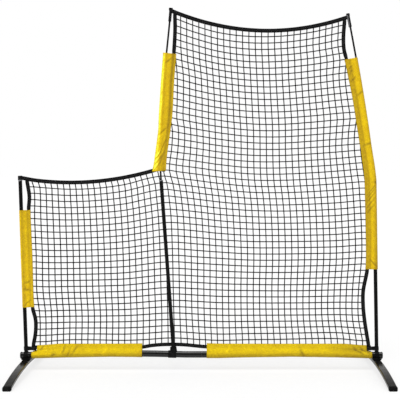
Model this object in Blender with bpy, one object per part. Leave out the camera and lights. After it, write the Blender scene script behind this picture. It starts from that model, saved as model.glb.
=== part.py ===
"""Portable L screen for batting practice.

A two-piece base tube stands on two arched legs that swivel on bolts. Three uprights carry an L-shaped net
with webbing edges, and five fabric sleeves wrap the poles together with the webbing.

Lengths are in metres and +Z is up. The pitcher stands on the -Y side, and the low half of the L is at -X.
"""
import math

import bmesh
import bpy
from mathutils import Vector

# Driving dimensions of the base
base_length = 2.134             # end cap to end cap, seven feet
base_height = 0.0925            # tube axis above the floor at its ends
base_bow = 0.013                # how far each half bows up between its ends
base_radius = 0.019
base_wall = 0.0015
end_cap_thick = 0.006
end_cap_rim = 0.0205
end_cap_plug = 0.014
connector_length = 0.180
connector_wall = 0.0015
button_inset = 0.018            # snap button from the mouth of the right half
button_radius = 0.004
button_stand = 0.0035           # how far the button stands out of the tube
flange_radius = 0.0052
flange_thick = 0.0015
leaf_width = 0.008
leaf_thick = 0.0008
leaf_reach = 0.045

# Driving dimensions of the legs
leg_length = 0.914              # heel to toe, three feet
leg_width = 0.046
leg_height = 0.021
leg_wall = 0.0015
leg_corner = 0.004
foot_length = 0.014
foot_plug = 0.020
foot_skin = 0.0008
foot_sole = 0.0025              # plastic under the end of the steel
saddle_height = 0.008
saddle_length = 0.050
saddle_width = 0.036
saddle_lip = 0.005              # how far the saddle rises beside the tube
band_length = 0.024             # moulded band of each saddle round the base tube and the upright's foot
band_thick = 0.0024
bolt_radius = 0.005
bolt_head_radius = 0.0085
bolt_head_height = 0.006
washer_radius = 0.011
washer_thick = 0.0012
nut_radius = 0.0085
nut_height = 0.007
nut_lift = 0.0032               # the nut's corners bear on the round inner wall
bolt_end = 0.0015               # thread past the nut

# Driving dimensions of the uprights and rods
upright_inset = 0.033           # upright axis from the end of the base
upright_radius = 0.011
upright_wall = 0.0015
upright_top = 1.1216            # top of the steel tubes above the floor
left_top_shift = -0.036         # how far the top of each tube stands from its foot
middle_top_shift = -0.0748
right_top_shift = -0.0153
spigot_length = 0.060           # above the base tube's axis
spigot_foot = 0.004
spigot_wall = 0.002
tee_shift = -0.172              # tee from the middle of the base
tee_length = 0.047
tee_radius = 0.0222
tee_neck_radius = 0.0188
tee_neck_height = 0.0430
tee_floor = 0.0022              # wall left between the two bores
middle_foot_shift = 0.0085      # middle tube's axis from the middle of the tee
collar_radius = 0.0125
collar_height = 0.006
bush_length = 0.050
stub_radius = 0.0108
stub_height = 0.022
rod_radius = 0.0055
rod_insert = 0.090
tip_length = 0.022
tip_wall = 0.0010
middle_head_shift = 0.0578      # head of each rod from the top of its tube
middle_head_rise = 1.0214       # head of each rod above the top of its tube
right_head_shift = -0.1551
right_head_rise = 0.9884

# Driving dimensions of the net, webbing and fabric
webbing_width = 0.0195
webbing_thick = 0.0020
strand_width = 0.0030
pocket_length = 0.079
fabric_thick = 0.0015
low_top_left_rise = 0.0172      # ends of the low top webbing above the tops of the tubes
low_top_corner_rise = 0.0744
low_top_sag = 0.0506
tall_top_left_drop = 0.0155     # ends of the tall top webbing below the heads of the rods
tall_top_right_drop = 0.0210
tall_top_sag = 0.0985
corner_inset = 0.034            # ends of the hem from the axes of the outer uprights
strap_height = 0.022
strap_lift = 0.0300             # foot of each corner strap above the axis at the base's ends
strap_reach = 0.060
net_spread = 0.150              # how far the net bows back beside the middle tube
net_settle = 0.200              # height over which the net comes forward above the corner
left_sleeve_foot = 0.376
left_sleeve_length = 0.573
middle_sleeve_rise = 0.0584     # foot of the middle sleeve above the top of its tube
middle_sleeve_length = 0.697
right_sleeve_foot = 0.6016
right_sleeve_length = 1.248
low_left_sleeve_inset = 0.0310  # upper lobe of the low left sleeve from the end of the hem
low_left_sleeve_gap = 0.1545    # from the low left sleeve to the tee
low_right_sleeve_start = 0.031
low_right_sleeve_inset = 0.0270
low_sleeve_step = 0.031         # how far the lower lobe reaches past the upper one
lobe_radius = 0.0030
fold_height = 0.0022
fold_spacing = 0.072

# Clearances
clearance = 0.0003
overrun = 0.010                 # how far every cutter runs past what it cuts
slope_step = 0.003              # length over which a pole's lean is read

# Shapes that follow the sizes above
round_sides = 24
rod_sides = 12
net_low_cells = (6, 8)
net_tall_cells = (9, 16)
middle_foot_slope_share = -0.0734
middle_head_slope_share = 0.085
right_foot_slope_share = -0.10
right_head_slope_share = -0.19

# Centre of each webbing from its pole's axis: (share of the webbing's length, distance in webbing widths)
left_edge_shares = (
    (0.0, 2.15), (0.077, 2.87), (0.154, 3.00), (0.238, 2.28), (0.537, 2.36), (0.827, 2.26),
    (0.907, 2.59), (1.0, 2.05))
middle_edge_shares = (
    (0.0, 0.87), (0.071, 1.23), (0.246, 2.26), (0.379, 2.67), (0.600, 2.36), (0.758, 2.21),
    (0.902, 1.88), (1.0, 1.38))
right_edge_shares = (
    (0.0, 2.41), (0.076, 3.50), (0.123, 3.88), (0.169, 3.77), (0.236, 2.46), (0.325, 2.21),
    (0.570, 2.41), (0.675, 2.59), (0.771, 2.62), (0.879, 2.97), (0.913, 3.18), (0.953, 2.59),
    (1.0, 1.38))
hem_edge_shares = (
    (0.0, 2.465), (0.324, 2.515), (0.415, 3.205), (0.5155, 2.645), (0.570, 2.465), (1.0, 2.465))
# Left side of the middle sleeve from the rod's axis: (share of the sleeve's length, webbing widths)
middle_lobe_shares = (
    (0.0, 2.51), (0.094, 1.77), (0.325, 0.72), (0.4375, 0.68), (0.671, 0.76), (1.0, 1.05))

# Bow of the base as (share of half its length, share of base_bow), straight at the saddles and the connector
base_half = base_length / 2
saddle_share = 1 - (upright_inset + saddle_length) / base_half
connector_share = (connector_length / 2 + clearance) / base_half
base_bow_shares = (
    (0.0, 0.42), (connector_share, 0.42), (0.25, 0.75), (0.5, 1.0), (0.75, 0.72), (saddle_share, 0.27),
    (1.0, 0.0))


def base_line(across):
    """Height of the base tube's axis, in straight runs between the points of the table."""
    share = abs(across) / base_half
    for start, end in zip(base_bow_shares, base_bow_shares[1:]):
        if share <= end[0]:
            break
    part = (share - start[0]) / (end[0] - start[0])
    return base_height + base_bow * (start[1] + (end[1] - start[1]) * part)


def on_base(across):
    return Vector((across, 0, base_line(across)))


def base_run(across):
    """Direction of the base tube here."""
    return (on_base(across + slope_step) - on_base(across - slope_step)).normalized()


# Sizes that follow from the ones above
left_foot = on_base(upright_inset - base_half)
right_foot = on_base(base_half - upright_inset)
middle_foot = on_base(tee_shift + middle_foot_shift)
middle_head_height = upright_top + middle_head_rise
middle_sleeve_foot = upright_top + middle_sleeve_rise
right_head_height = upright_top + right_head_rise
low_top_left_height = upright_top + low_top_left_rise
low_top_corner_height = upright_top + low_top_corner_rise
tall_top_left_height = middle_head_height - tall_top_left_drop
tall_top_right_height = right_head_height - tall_top_right_drop
left_head = Vector((left_foot.x + left_top_shift, 0, upright_top))
middle_top = Vector((middle_foot.x + middle_top_shift, 0, upright_top))
right_top = Vector((right_foot.x + right_top_shift, 0, upright_top))
rod_base_height = upright_top + collar_height
leg_top = left_foot.z - base_radius - saddle_height
leg_half = leg_length / 2
leg_rise = leg_top - leg_height - foot_sole
leg_arc_radius = (leg_half ** 2 + leg_rise ** 2) / (2 * leg_rise)
upright_bore = upright_radius - upright_wall
spigot_radius = upright_bore - clearance
bolt_hole_radius = bolt_radius + clearance
half_web = webbing_width / 2
half_strand = strand_width / 2
hem_left = left_foot.x + corner_inset
hem_right = right_foot.x - corner_inset
side_foot_height = base_height + hem_edge_shares[0][1] * webbing_width + half_web + clearance
tube_back = upright_radius + clearance + half_strand
rod_back = rod_radius + clearance + webbing_thick / 2
pocket_radius = rod_radius + clearance + tip_wall + clearance + fabric_thick
left_pocket_radius = stub_radius + clearance + fabric_thick
backward = Vector((0, 1, 0))
upward = Vector((0, 0, 1))
along = Vector((1, 0, 0))

for old in list(bpy.data.objects):
    bpy.data.objects.remove(old, do_unlink=True)


def material(name, color, roughness, metallic):
    made = bpy.data.materials.new(name)
    made.use_nodes = True
    shader = made.node_tree.nodes["Principled BSDF"]
    shader.inputs["Base Color"].default_value = (*color, 1)
    shader.inputs["Roughness"].default_value = roughness
    shader.inputs["Metallic"].default_value = metallic
    return made


black_steel = (0.012, 0.012, 0.013)
black_plastic = (0.02, 0.02, 0.021)
black_cloth = (0.014, 0.014, 0.015)
bright_metal = (0.55, 0.56, 0.57)
yellow_cloth = (0.80, 0.56, 0.03)
rod_color = (0.035, 0.035, 0.04)
frame_empty = bpy.data.objects.new("screen_frame", None)
bpy.context.scene.collection.objects.link(frame_empty)


def solid(name, points, faces, look, anchor, parent=frame_empty):
    """A closed body with its origin at anchor and outward faces; look is (colour, roughness, metallic)."""
    mesh = bpy.data.meshes.new(name)
    mesh.from_pydata([tuple(Vector(point) - anchor) for point in points], [], faces)
    work = bmesh.new()
    work.from_mesh(mesh)
    bmesh.ops.recalc_face_normals(work, faces=work.faces)
    work.to_mesh(mesh)
    work.free()
    mesh.shade_smooth()
    mesh.set_sharp_from_angle(angle=math.radians(40))
    made = bpy.data.objects.new(name, mesh)
    bpy.context.scene.collection.objects.link(made)
    made.parent = parent
    made.location = anchor - parent.location
    if look:
        mesh.materials.append(material(name, *look))
    return made


def bridge(faces, first, second, count, closed=True):
    """Joins two rows of points, each given by the number of its first point."""
    for step in range(count if closed else count - 1):
        after = (step + 1) % count
        faces.append((first + step, first + after, second + after, second + step))


def loft(name, outer, look, anchor, inner=None):
    """Skins a row of closed rings. inner, a row of rings as long, bores it from end to end."""
    count = len(outer[0])
    points = [point for ring in outer for point in ring]
    faces = []
    for station in range(len(outer) - 1):
        bridge(faces, station * count, (station + 1) * count, count)
    if inner is None:
        faces.append(tuple(range(count)))
        faces.append(tuple(range((len(outer) - 1) * count, len(outer) * count)))
        return solid(name, points, faces, look, anchor)
    first = len(points)
    points += [point for ring in inner for point in ring]
    for station in range(len(inner) - 1):
        bridge(faces, first + station * count, first + (station + 1) * count, count)
    bridge(faces, 0, first, count)
    bridge(faces, (len(outer) - 1) * count, first + (len(inner) - 1) * count, count)
    return solid(name, points, faces, look, anchor)


def cup(name, outer, inner, look, anchor):
    """A closed-ended sleeve: both rows of rings start at the mouth and each is capped at its last ring."""
    count = len(outer[0])
    points = [point for ring in outer for point in ring]
    faces = []
    for station in range(len(outer) - 1):
        bridge(faces, station * count, (station + 1) * count, count)
    faces.append(tuple(range((len(outer) - 1) * count, len(outer) * count)))
    first = len(points)
    points += [point for ring in inner for point in ring]
    for station in range(len(inner) - 1):
        bridge(faces, first + station * count, first + (station + 1) * count, count)
    faces.append(tuple(range(first + (len(inner) - 1) * count, first + len(inner) * count)))
    bridge(faces, 0, first, count)
    return solid(name, points, faces, look, anchor)


def ring_about(center, axis, radius, sides):
    """A ring of points square to the axis."""
    axis = axis.normalized()
    reference = backward if abs(axis.y) < 0.9 else upward
    across = reference.cross(axis).normalized()
    up = axis.cross(across)
    ring = []
    for step in range(sides):
        angle = 2 * math.pi * (step + 0.5) / sides
        ring.append(center + radius * (math.cos(angle) * across + math.sin(angle) * up))
    return ring


def turned(name, start, axis, profile, look, sides=round_sides, bored=False, parent=frame_empty):
    """A turned piece. profile is (distance along the axis, radius) from end to end, a closed loop if bored."""
    axis = axis.normalized()
    rings = [ring_about(start + axis * reach, axis, radius, sides) for reach, radius in profile]
    points = [point for ring in rings for point in ring]
    faces = []
    for station in range(len(rings) - 1):
        bridge(faces, station * sides, (station + 1) * sides, sides)
    if bored:
        bridge(faces, (len(rings) - 1) * sides, 0, sides)
    else:
        faces.append(tuple(range(sides)))
        faces.append(tuple(range((len(rings) - 1) * sides, len(rings) * sides)))
    return solid(name, points, faces, look, start, parent)


def swept_rings(path, radius, sides):
    rings = []
    for number, point in enumerate(path):
        before = path[max(number - 1, 0)]
        after = path[min(number + 1, len(path) - 1)]
        rings.append(ring_about(point, after - before, radius, sides))
    return rings


def cut(target, cutter, operation="DIFFERENCE"):
    cutter.hide_render = True
    cutter.display_type = "WIRE"
    change = target.modifiers.new("cut", "BOOLEAN")
    change.operation = operation
    change.object = cutter
    change.solver = "EXACT"


def drill(target, start, axis, reach, radius, sides=round_sides):
    cutter = turned(f"{target.name}_drill", start, axis, ((0, radius), (reach, radius)), None, sides)
    cut(target, cutter)


def box_cutter(target, low, high):
    corners = [Vector((x, y, z)) for x in (low.x, high.x) for y in (low.y, high.y) for z in (low.z, high.z)]
    faces = [(0, 1, 3, 2), (4, 5, 7, 6), (0, 1, 5, 4), (2, 3, 7, 6), (0, 2, 6, 4), (1, 3, 7, 5)]
    cutter = solid(f"{target.name}_slot", corners, faces, None, low)
    cut(target, cutter)


def smooth_share(share):
    share = min(max(share, 0), 1)
    return share * share * (3 - 2 * share)


def table_value(table, share):
    """Reads a table of (share, value) along a smooth curve through its points."""
    share = min(max(share, table[0][0]), table[-1][0])
    for number in range(len(table) - 1):
        if share <= table[number + 1][0]:
            break
    start, end = table[number], table[number + 1]
    before = table[max(number - 1, 0)]
    after = table[min(number + 2, len(table) - 1)]
    width = end[0] - start[0]
    part = (share - start[0]) / width
    rise_in = (end[1] - before[1]) / (end[0] - before[0]) * width
    rise_out = (after[1] - start[1]) / (after[0] - start[0]) * width
    return hermite(start[1], end[1], rise_in, rise_out, part)


def hermite(start, end, rise_in, rise_out, part):
    square = part * part
    cube = square * part
    return (
        (2 * cube - 3 * square + 1) * start + (cube - 2 * square + part) * rise_in
        + (3 * square - 2 * cube) * end + (cube - square) * rise_out)


def on_line(foot, head, height):
    return foot.x + (head.x - foot.x) * (height - foot.z) / (head.z - foot.z)


def left_pole(height):
    return on_line(left_foot, left_head, height)


def middle_pole(height):
    """The middle upright: a straight tube, then the bent rod above its ferrule."""
    if height <= rod_base_height:
        return on_line(middle_foot, middle_top, height)
    length = middle_head_height - rod_base_height
    foot = on_line(middle_foot, middle_top, rod_base_height)
    rises = (middle_foot_slope_share * length, middle_head_slope_share * length)
    part = (height - rod_base_height) / length
    return hermite(foot, middle_top.x + middle_head_shift, rises[0], rises[1], part)


def right_pole(height):
    """The right upright: a straight tube, then the rod that the tall net bends inwards."""
    if height <= rod_base_height:
        return on_line(right_foot, right_top, height)
    length = right_head_height - rod_base_height
    foot = on_line(right_foot, right_top, rod_base_height)
    rises = (right_foot_slope_share * length, right_head_slope_share * length)
    part = (height - rod_base_height) / length
    return hermite(foot, right_top.x + right_head_shift, rises[0], rises[1], part)


def low_top(across):
    """Height of the centre of the low top webbing."""
    left = left_head.x
    right = middle_pole(low_top_corner_height)
    part = (across - left) / (right - left)
    straight = low_top_left_height + (low_top_corner_height - low_top_left_height) * part
    return straight - 4 * low_top_sag * part * (1 - part)


def tall_top(across):
    """Height of the centre of the tall top webbing."""
    left = middle_pole(middle_head_height)
    right = right_pole(right_head_height)
    part = (across - left) / (right - left)
    straight = tall_top_left_height + (tall_top_right_height - tall_top_left_height) * part
    return straight - 4 * tall_top_sag * part * (1 - part)


def lower_edge(center, across):
    """Height of the lower edge of a top webbing."""
    slope = (center(across + half_web) - center(across - half_web)) / webbing_width
    return center(across) - half_web * math.sqrt(1 + slope * slope)


def pole_side(pole, height, radius, side):
    """Where a webbing at this height stops beside a pocket on the pole. side is 1 on the pole's right."""
    ends = [side * pole(height - half_web), side * pole(height + half_web)]
    return side * (max(ends) + radius + clearance)


def hem_line(across):
    share = (across - hem_left) / (hem_right - hem_left)
    return base_height + webbing_width * table_value(hem_edge_shares, share)


def left_edge(height):
    share = (height - side_foot_height) / (left_edge_top - side_foot_height)
    return left_pole(height) + webbing_width * table_value(left_edge_shares, share)


def middle_edge(height):
    share = (height - middle_edge_foot) / (middle_edge_top - middle_edge_foot)
    return middle_pole(height) + webbing_width * table_value(middle_edge_shares, share)


def right_edge(height):
    share = (height - side_foot_height) / (right_edge_top - side_foot_height)
    return right_pole(height) - webbing_width * table_value(right_edge_shares, share)


def top_end(top, across):
    """Height at which a side webbing stops under a top webbing."""
    return min(lower_edge(top, across - half_web), lower_edge(top, across + half_web)) - clearance


left_edge_top = top_end(low_top, left_head.x + left_edge_shares[-1][1] * webbing_width)
middle_edge_foot = lower_edge(low_top, middle_pole(low_top_corner_height))
middle_edge_top = top_end(
    tall_top, middle_pole(tall_top_left_height) + middle_edge_shares[-1][1] * webbing_width)
right_edge_top = top_end(
    tall_top, right_pole(tall_top_right_height) - right_edge_shares[-1][1] * webbing_width)


def depth(across, height):
    """How far the net lies behind the poles' plane: it passes behind the middle upright below the corner."""
    settle = smooth_share((height - middle_edge_foot) / net_settle)
    fall = smooth_share((height - rod_base_height) / (middle_edge_foot - rod_base_height))
    back = (tube_back + (rod_back - tube_back) * fall) * (1 - settle)
    away = abs(across - middle_pole(min(height, middle_head_height)))
    near = webbing_width * middle_edge_shares[0][1] + half_web
    return back * (1 - smooth_share((away - near) / net_spread))


def split_line(height):
    """Where the low and the tall net meet: behind the middle tube, then beside the webbing at the corner."""
    reach = webbing_width * middle_edge_shares[0][1] + half_web + clearance
    swing = smooth_share(1 - (middle_edge_foot - height) / (4 * webbing_width))
    return middle_pole(height) + reach * swing


def border(rings, corner):
    """One edge of a webbing as (across, height) points, from corner 0 or 1 of each of its sections."""
    return [(ring[corner].x, ring[corner].z) for ring in rings]


def read_border(points, known, value):
    """The other coordinate at this value of the known one, 0 for across and 1 for height."""
    other = 1 - known
    for start, end in zip(points, points[1:]):
        if value <= end[known] or end is points[-1]:
            break
    part = (value - start[known]) / (end[known] - start[known])
    part = min(max(part, 0), 1)
    return start[other] + (end[other] - start[other]) * part


def net_point(left, right, bottom, top, across_share, up_share):
    """Point of the net at these shares of its width and height."""
    height = (bottom(0) + top(0)) / 2
    for _ in range(12):
        across = left(height) + (right(height) - left(height)) * across_share
        height = bottom(across) + (top(across) - bottom(across)) * up_share
    return across, height


def net(name, cells, edges):
    """A flat net of square strands as one body: a grid of tiles in which every gap is left open."""
    columns, rows = cells
    left, right, bottom, top = edges
    low = net_point(*edges, 0, 0)
    width = net_point(*edges, 1, 0)[0] - low[0]
    tall = net_point(*edges, 0, 1)[1] - low[1]
    column_shares = [0]
    for number in range(1, columns):
        column_shares += [number / columns - half_strand / width, number / columns + half_strand / width]
    column_shares.append(1)
    row_shares = [0]
    for number in range(1, rows):
        row_shares += [number / rows - half_strand / tall, number / rows + half_strand / tall]
    row_shares.append(1)
    wide, high = len(column_shares), len(row_shares)
    filled = {
        (column, row) for column in range(wide - 1) for row in range(high - 1) if column % 2 or row % 2}
    points, numbers = [], {}

    def corner(column, row, side):
        key = (column, row, side)
        if key not in numbers:
            across, height = net_point(*edges, column_shares[column], row_shares[row])
            numbers[key] = len(points)
            points.append(Vector((across, depth(across, height) + side * half_strand, height)))
        return numbers[key]

    faces = []
    for column, row in sorted(filled):
        ends = ((column, row), (column + 1, row), (column + 1, row + 1), (column, row + 1))
        neighbours = ((column, row - 1), (column + 1, row), (column, row + 1), (column - 1, row))
        for side in (-1, 1):
            faces.append(tuple(corner(*end, side) for end in ends))
        for number, neighbour in enumerate(neighbours):
            if neighbour not in filled:
                start, end = ends[number], ends[(number + 1) % 4]
                faces.append((corner(*start, -1), corner(*end, -1), corner(*end, 1), corner(*start, 1)))
    return solid(name, points, faces, (black_cloth, 0.8, 0), Vector((low[0], 0, low[1])))


def webbing_rings(path, side):
    """Sections of a flat strip in the plane of the net, all cut along side, which points across the strip."""
    rings = []
    for number, point in enumerate(path):
        before = path[max(number - 1, 0)]
        after = path[min(number + 1, len(path) - 1)]
        run = (after - before).normalized()
        half = side * half_web / abs(run.cross(side).dot(backward))
        face = backward * webbing_thick / 2
        rings.append([point - half - face, point + half - face, point + half + face, point - half + face])
    return rings


def webbing(name, rings):
    loft(name, rings, (black_cloth, 0.75, 0), rings[0][0])


def side_strip(edge, foot, head, steps):
    path = []
    for step in range(steps + 1):
        height = foot + (head - foot) * step / steps
        path.append(Vector((edge(height), depth(edge(height), height), height)))
    return webbing_rings(path, along)


def across_strip(center, start, end, steps):
    path = []
    for step in range(steps + 1):
        across = start + (end - start) * step / steps
        path.append(Vector((across, depth(across, center(across)), center(across))))
    return webbing_rings(path, upward)


def lobed_outline(far, far_radius, pole_radius, near, near_radius, near_depth, grow, slit, swell):
    """Half-open outline round a pole and the webbing beside it, as (towards the net, backwards) points.

    The outline starts and ends at the slit on the net's side. far lies on the other side of the pole.
    """
    lobes = ((near, near_depth, near_radius), (0, 0, pole_radius), (-far, 0, far_radius))
    spans = []
    for (place, back, radius), (next_place, next_back, next_radius) in zip(lobes, lobes[1:]):
        length = max(place - next_place, clearance)
        lean = (radius - next_radius) / math.hypot(length, back - next_back)
        spans.append(math.pi / 2 + math.asin(max(-1, min(1, lean))))
    counts = (2, 3, 3)
    outline = []
    for sign in (1, -1):
        half = []
        near_size = near_radius + grow
        start = math.asin(min(0.9, slit / near_size))
        limits = ((start, spans[0]), (spans[0], spans[1]), (spans[1], math.pi))
        for (place, back, radius), (first, last), count in zip(lobes, limits, counts):
            for step in range(count):
                angle = first + (last - first) * step / (count - (0 if place == -far else 1))
                size = (radius + grow) / math.cos((last - first) / count / 2)
                size += swell(place, angle * sign)
                if place == near and step == 0:
                    size = near_size
                half.append((place + size * math.cos(angle), back + sign * size * math.sin(angle)))
        if sign == 1:
            size = (far_radius + grow) / math.cos((math.pi - spans[1]) / 3 / 2)
            half.append((-far - size - swell(-far, math.pi), 0))
            outline = half
        else:
            outline += half[::-1]
    return outline


def sleeve(name, stations):
    """A fabric sleeve with a slit on the net's side. Each station gives its origin, the direction to the net,
    the sizes of its outline and the lean of its cut."""
    points, faces = [], []
    count = 0
    for number, (origin, towards, shape, slant) in enumerate(stations):
        wave = number * 2.4

        def swell(place, angle, wave=wave):
            return fold_height * (0.5 + 0.5 * math.sin(2 * angle + wave + place / webbing_width))

        inner = lobed_outline(*shape, 0, half_strand + clearance, swell)
        outer = lobed_outline(*shape, fabric_thick, half_strand + clearance, swell)
        count = len(outer)
        ahead = backward.cross(towards)
        for outline in (outer, inner):
            for reach, back in outline:
                points.append(origin + towards * reach + backward * back + ahead * slant * reach)
    for number in range(len(stations) - 1):
        here = number * 2 * count
        there = here + 2 * count
        bridge(faces, here, there, count, closed=False)
        bridge(faces, here + count, there + count, count, closed=False)
        faces.append((here, there, there + count, here + count))
        last = count - 1
        faces.append((here + last, there + last, there + count + last, here + count + last))
    for here in (0, (len(stations) - 1) * 2 * count):
        bridge(faces, here, here + count, count, closed=False)
    return solid(name, points, faces, (yellow_cloth, 0.55, 0), stations[0][0])


def sleeve_steps(length):
    return max(4, round(length / fold_spacing))


def side_sleeve(name, pole, edge, radius, foot, length, side):
    steps = sleeve_steps(length)
    stations = []
    for step in range(steps + 1):
        height = foot + length * step / steps
        lean = (pole(height + slope_step) - pole(height - slope_step)) / (2 * slope_step)
        towards = Vector((side, 0, -side * lean)).normalized()
        reach = abs(edge(height) - pole(height)) + half_web - lobe_radius + clearance
        near = (reach, lobe_radius, depth(edge(height), height))
        shape = (0, radius + clearance, radius + clearance, *near)
        stations.append((Vector((pole(height), 0, height)), towards, shape, 0))
    return sleeve(name, stations)


# Base: two tubes over a connector, with the snap button that locks them
tube_end = base_half - end_cap_thick
steel_look = (black_steel, 0.18, 0.5)
plastic_look = (black_plastic, 0.5, 0)
cloth_look = (black_cloth, 0.8, 0)
metal_look = (bright_metal, 0.3, 1)
center = on_base(0)


def tube_profile(length, radius, wall):
    return ((0, radius), (length, radius), (length, radius - wall), (0, radius - wall))


def base_tube(name, side):
    """One half of the base, bored, from its end cap to the middle."""
    marks = [share * base_half for share, _ in base_bow_shares[1:-1]]
    path = [on_base(side * mark) for mark in (clearance / 2, *marks, tube_end)]
    rings = [swept_rings(path, radius, round_sides) for radius in (base_radius, base_radius - base_wall)]
    return loft(name, rings[0], steel_look, path[0], rings[1])


base_left = base_tube("base_tube_left", -1)
base_right = base_tube("base_tube_right", 1)
connector_radius = base_radius - base_wall - clearance
connector_shape = tube_profile(connector_length, connector_radius, connector_wall)
connector = turned(
    "base_connector", center - along * connector_length / 2, along, connector_shape, metal_look, bored=True)
button_place = center + along * button_inset
button_reach = base_radius + overrun
for tube in (base_right, connector):
    drill(tube, button_place, backward, button_reach, button_radius + clearance, rod_sides)
connector_bore = connector_radius - connector_wall
flange_top = math.sqrt(connector_bore ** 2 - flange_radius ** 2) - 2 * clearance
button_top = base_radius + button_stand
button_nose = button_radius / 4
turned(
    "snap_button", button_place, backward,
    ((flange_top - flange_thick, flange_radius), (flange_top, flange_radius), (flange_top, button_radius),
     (button_top - button_nose, button_radius), (button_top, button_radius - button_nose)),
    metal_look, rod_sides)
leaf_top = flange_top - flange_thick - clearance - leaf_thick / 2
leaf_bottom = clearance + leaf_thick / 2 - math.sqrt(connector_bore ** 2 - (leaf_width / 2) ** 2) + clearance
leaf_path = [
    Vector((flange_radius, leaf_top, 0)), Vector((-flange_radius, leaf_top, 0)),
    Vector((-leaf_reach, (leaf_top + leaf_bottom) / 2 + 2 * leaf_thick, 0)),
    Vector((-leaf_reach - leaf_thick, (leaf_top + leaf_bottom) / 2, 0)),
    Vector((-leaf_reach, (leaf_top + leaf_bottom) / 2 - 2 * leaf_thick, 0)),
    Vector((-flange_radius, leaf_bottom, 0)), Vector((flange_radius, leaf_bottom, 0))]
leaf_rings = []
for number, point in enumerate(leaf_path):
    before = leaf_path[max(number - 1, 0)]
    after = leaf_path[min(number + 1, len(leaf_path) - 1)]
    out = (after - before).cross(upward).normalized() * leaf_thick / 2
    half = upward * leaf_width / 2
    place = button_place + point
    leaf_rings.append([place - out - half, place + out - half, place + out + half, place - out + half])
loft("snap_button_spring", leaf_rings, metal_look, button_place)

for name, side in (("left", -1), ("right", 1)):
    plug = connector_radius
    mouth = on_base(side * tube_end)
    outward = base_run(mouth.x - side * slope_step) * side
    turned(
        f"base_end_cap_{name}", mouth + outward * clearance, outward,
        ((-end_cap_plug, plug), (0, plug), (0, end_cap_rim),
         (end_cap_thick / 2, end_cap_rim), (end_cap_thick - clearance, end_cap_rim - end_cap_thick / 3)),
        plastic_look)


# Legs: arched rectangular tubes on vertical bolts under the base
def arch_drop(back):
    return leg_arc_radius - math.sqrt(leg_arc_radius ** 2 - back ** 2)


def leg_ring(place, back, grow, sole=None):
    """Section of a leg at this distance from its bolt, upright and with cut corners."""
    half = leg_width / 2 + grow
    high = leg_top - arch_drop(abs(back)) + grow
    low = leg_top - arch_drop(abs(back)) - leg_height - grow
    if sole is not None:
        low = sole
    corner = leg_corner + grow
    outline = (
        (-half + corner, low), (half - corner, low), (half, low + corner), (half, high - corner),
        (half - corner, high), (-half + corner, high), (-half, high - corner), (-half, low + corner))
    return [Vector((place.x + across, place.y + back, height)) for across, height in outline]


bolt_head_top = leg_top - clearance - leg_height - washer_thick - 2 * clearance
nut_foot = left_foot.z - base_radius + base_wall + nut_lift
nut_bore = bolt_hole_radius / math.cos(math.pi / 6)
for name, foot, head in (("left", left_foot, left_head), ("right", right_foot, right_top)):
    place = Vector((foot.x, 0, 0))
    steel_half = leg_half - foot_length
    backs = [steel_half * (step / 9 - 1) for step in range(19)]
    pivot = Vector((foot.x, 0, leg_top))
    swivel = bpy.data.objects.new(f"{name}_leg_swivel", None)
    bpy.context.scene.collection.objects.link(swivel)
    swivel.location = pivot
    swivel.parent = frame_empty
    leg = loft(
        f"{name}_leg", [leg_ring(place, back, -clearance / 2) for back in backs], steel_look, pivot,
        [leg_ring(place, back, -leg_wall) for back in backs])
    leg.parent = swivel
    leg.location = (0, 0, 0)
    drill(leg, pivot - upward * (leg_height + overrun), upward, leg_height + 2 * overrun, bolt_hole_radius)
    for end, side in (("front", -1), ("rear", 1)):
        inside = steel_half - foot_plug
        rings = [
            leg_ring(place, side * inside, -leg_wall - clearance),
            leg_ring(place, side * (steel_half + clearance), -leg_wall - clearance),
            leg_ring(place, side * (steel_half + clearance), foot_skin, 0),
            leg_ring(place, side * (leg_half - foot_skin), foot_skin, 0),
            leg_ring(place, side * leg_half, 0, 0)]
        cap = loft(f"{name}_leg_cap_{end}", rings, plastic_look, pivot)
        cap.parent = swivel
        cap.location = (0, 0, 0)
    low = leg_top + clearance
    high = foot.z - base_radius + saddle_lip
    inset = leg_corner / 2
    saddle_rings = []
    for height, shrink in ((low, 0), (high - inset, 0), (high, inset)):
        long_half = saddle_length / 2 - shrink
        wide_half = saddle_width / 2 - shrink
        saddle_rings.append([
            Vector((foot.x - long_half, -wide_half, height)), Vector((foot.x + long_half, -wide_half, height)),
            Vector((foot.x + long_half, wide_half, height)), Vector((foot.x - long_half, wide_half, height))])
    saddle = loft(f"{name}_leg_saddle", saddle_rings, plastic_look, Vector((foot.x, 0, low)))
    run = base_run(foot.x)
    band_radius = base_radius + clearance + band_thick
    band = turned(
        f"{name}_band", foot - run * band_length / 2, run, ((0, band_radius), (band_length, band_radius)), None)
    cut(saddle, band, "UNION")
    drill(saddle, foot - run * saddle_length, run, 2 * saddle_length, base_radius + clearance)
    drill(saddle, foot, head - foot, base_radius + band_thick + overrun, upright_radius + clearance)
    drill(saddle, Vector((foot.x, 0, low - overrun)), upward, saddle_height + 2 * overrun, bolt_hole_radius)
    bolt_start = Vector((foot.x, 0, bolt_head_top))
    bolt_top = nut_foot + nut_height + bolt_end - bolt_head_top
    turned(
        f"{name}_leg_bolt", bolt_start, upward,
        ((-bolt_head_height, bolt_head_radius * 0.8), (-bolt_head_height * 0.6, bolt_head_radius),
         (0, bolt_head_radius), (0, bolt_radius), (bolt_top, bolt_radius)), metal_look, rod_sides)
    turned(
        f"{name}_leg_washer", bolt_start + upward * clearance, upward,
        tube_profile(washer_thick, washer_radius, washer_radius - bolt_hole_radius), metal_look, bored=True)
    turned(
        f"{name}_leg_nut", Vector((foot.x, 0, nut_foot)), upward,
        tube_profile(nut_height, nut_radius, nut_radius - nut_bore), metal_look, 6, bored=True)

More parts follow.
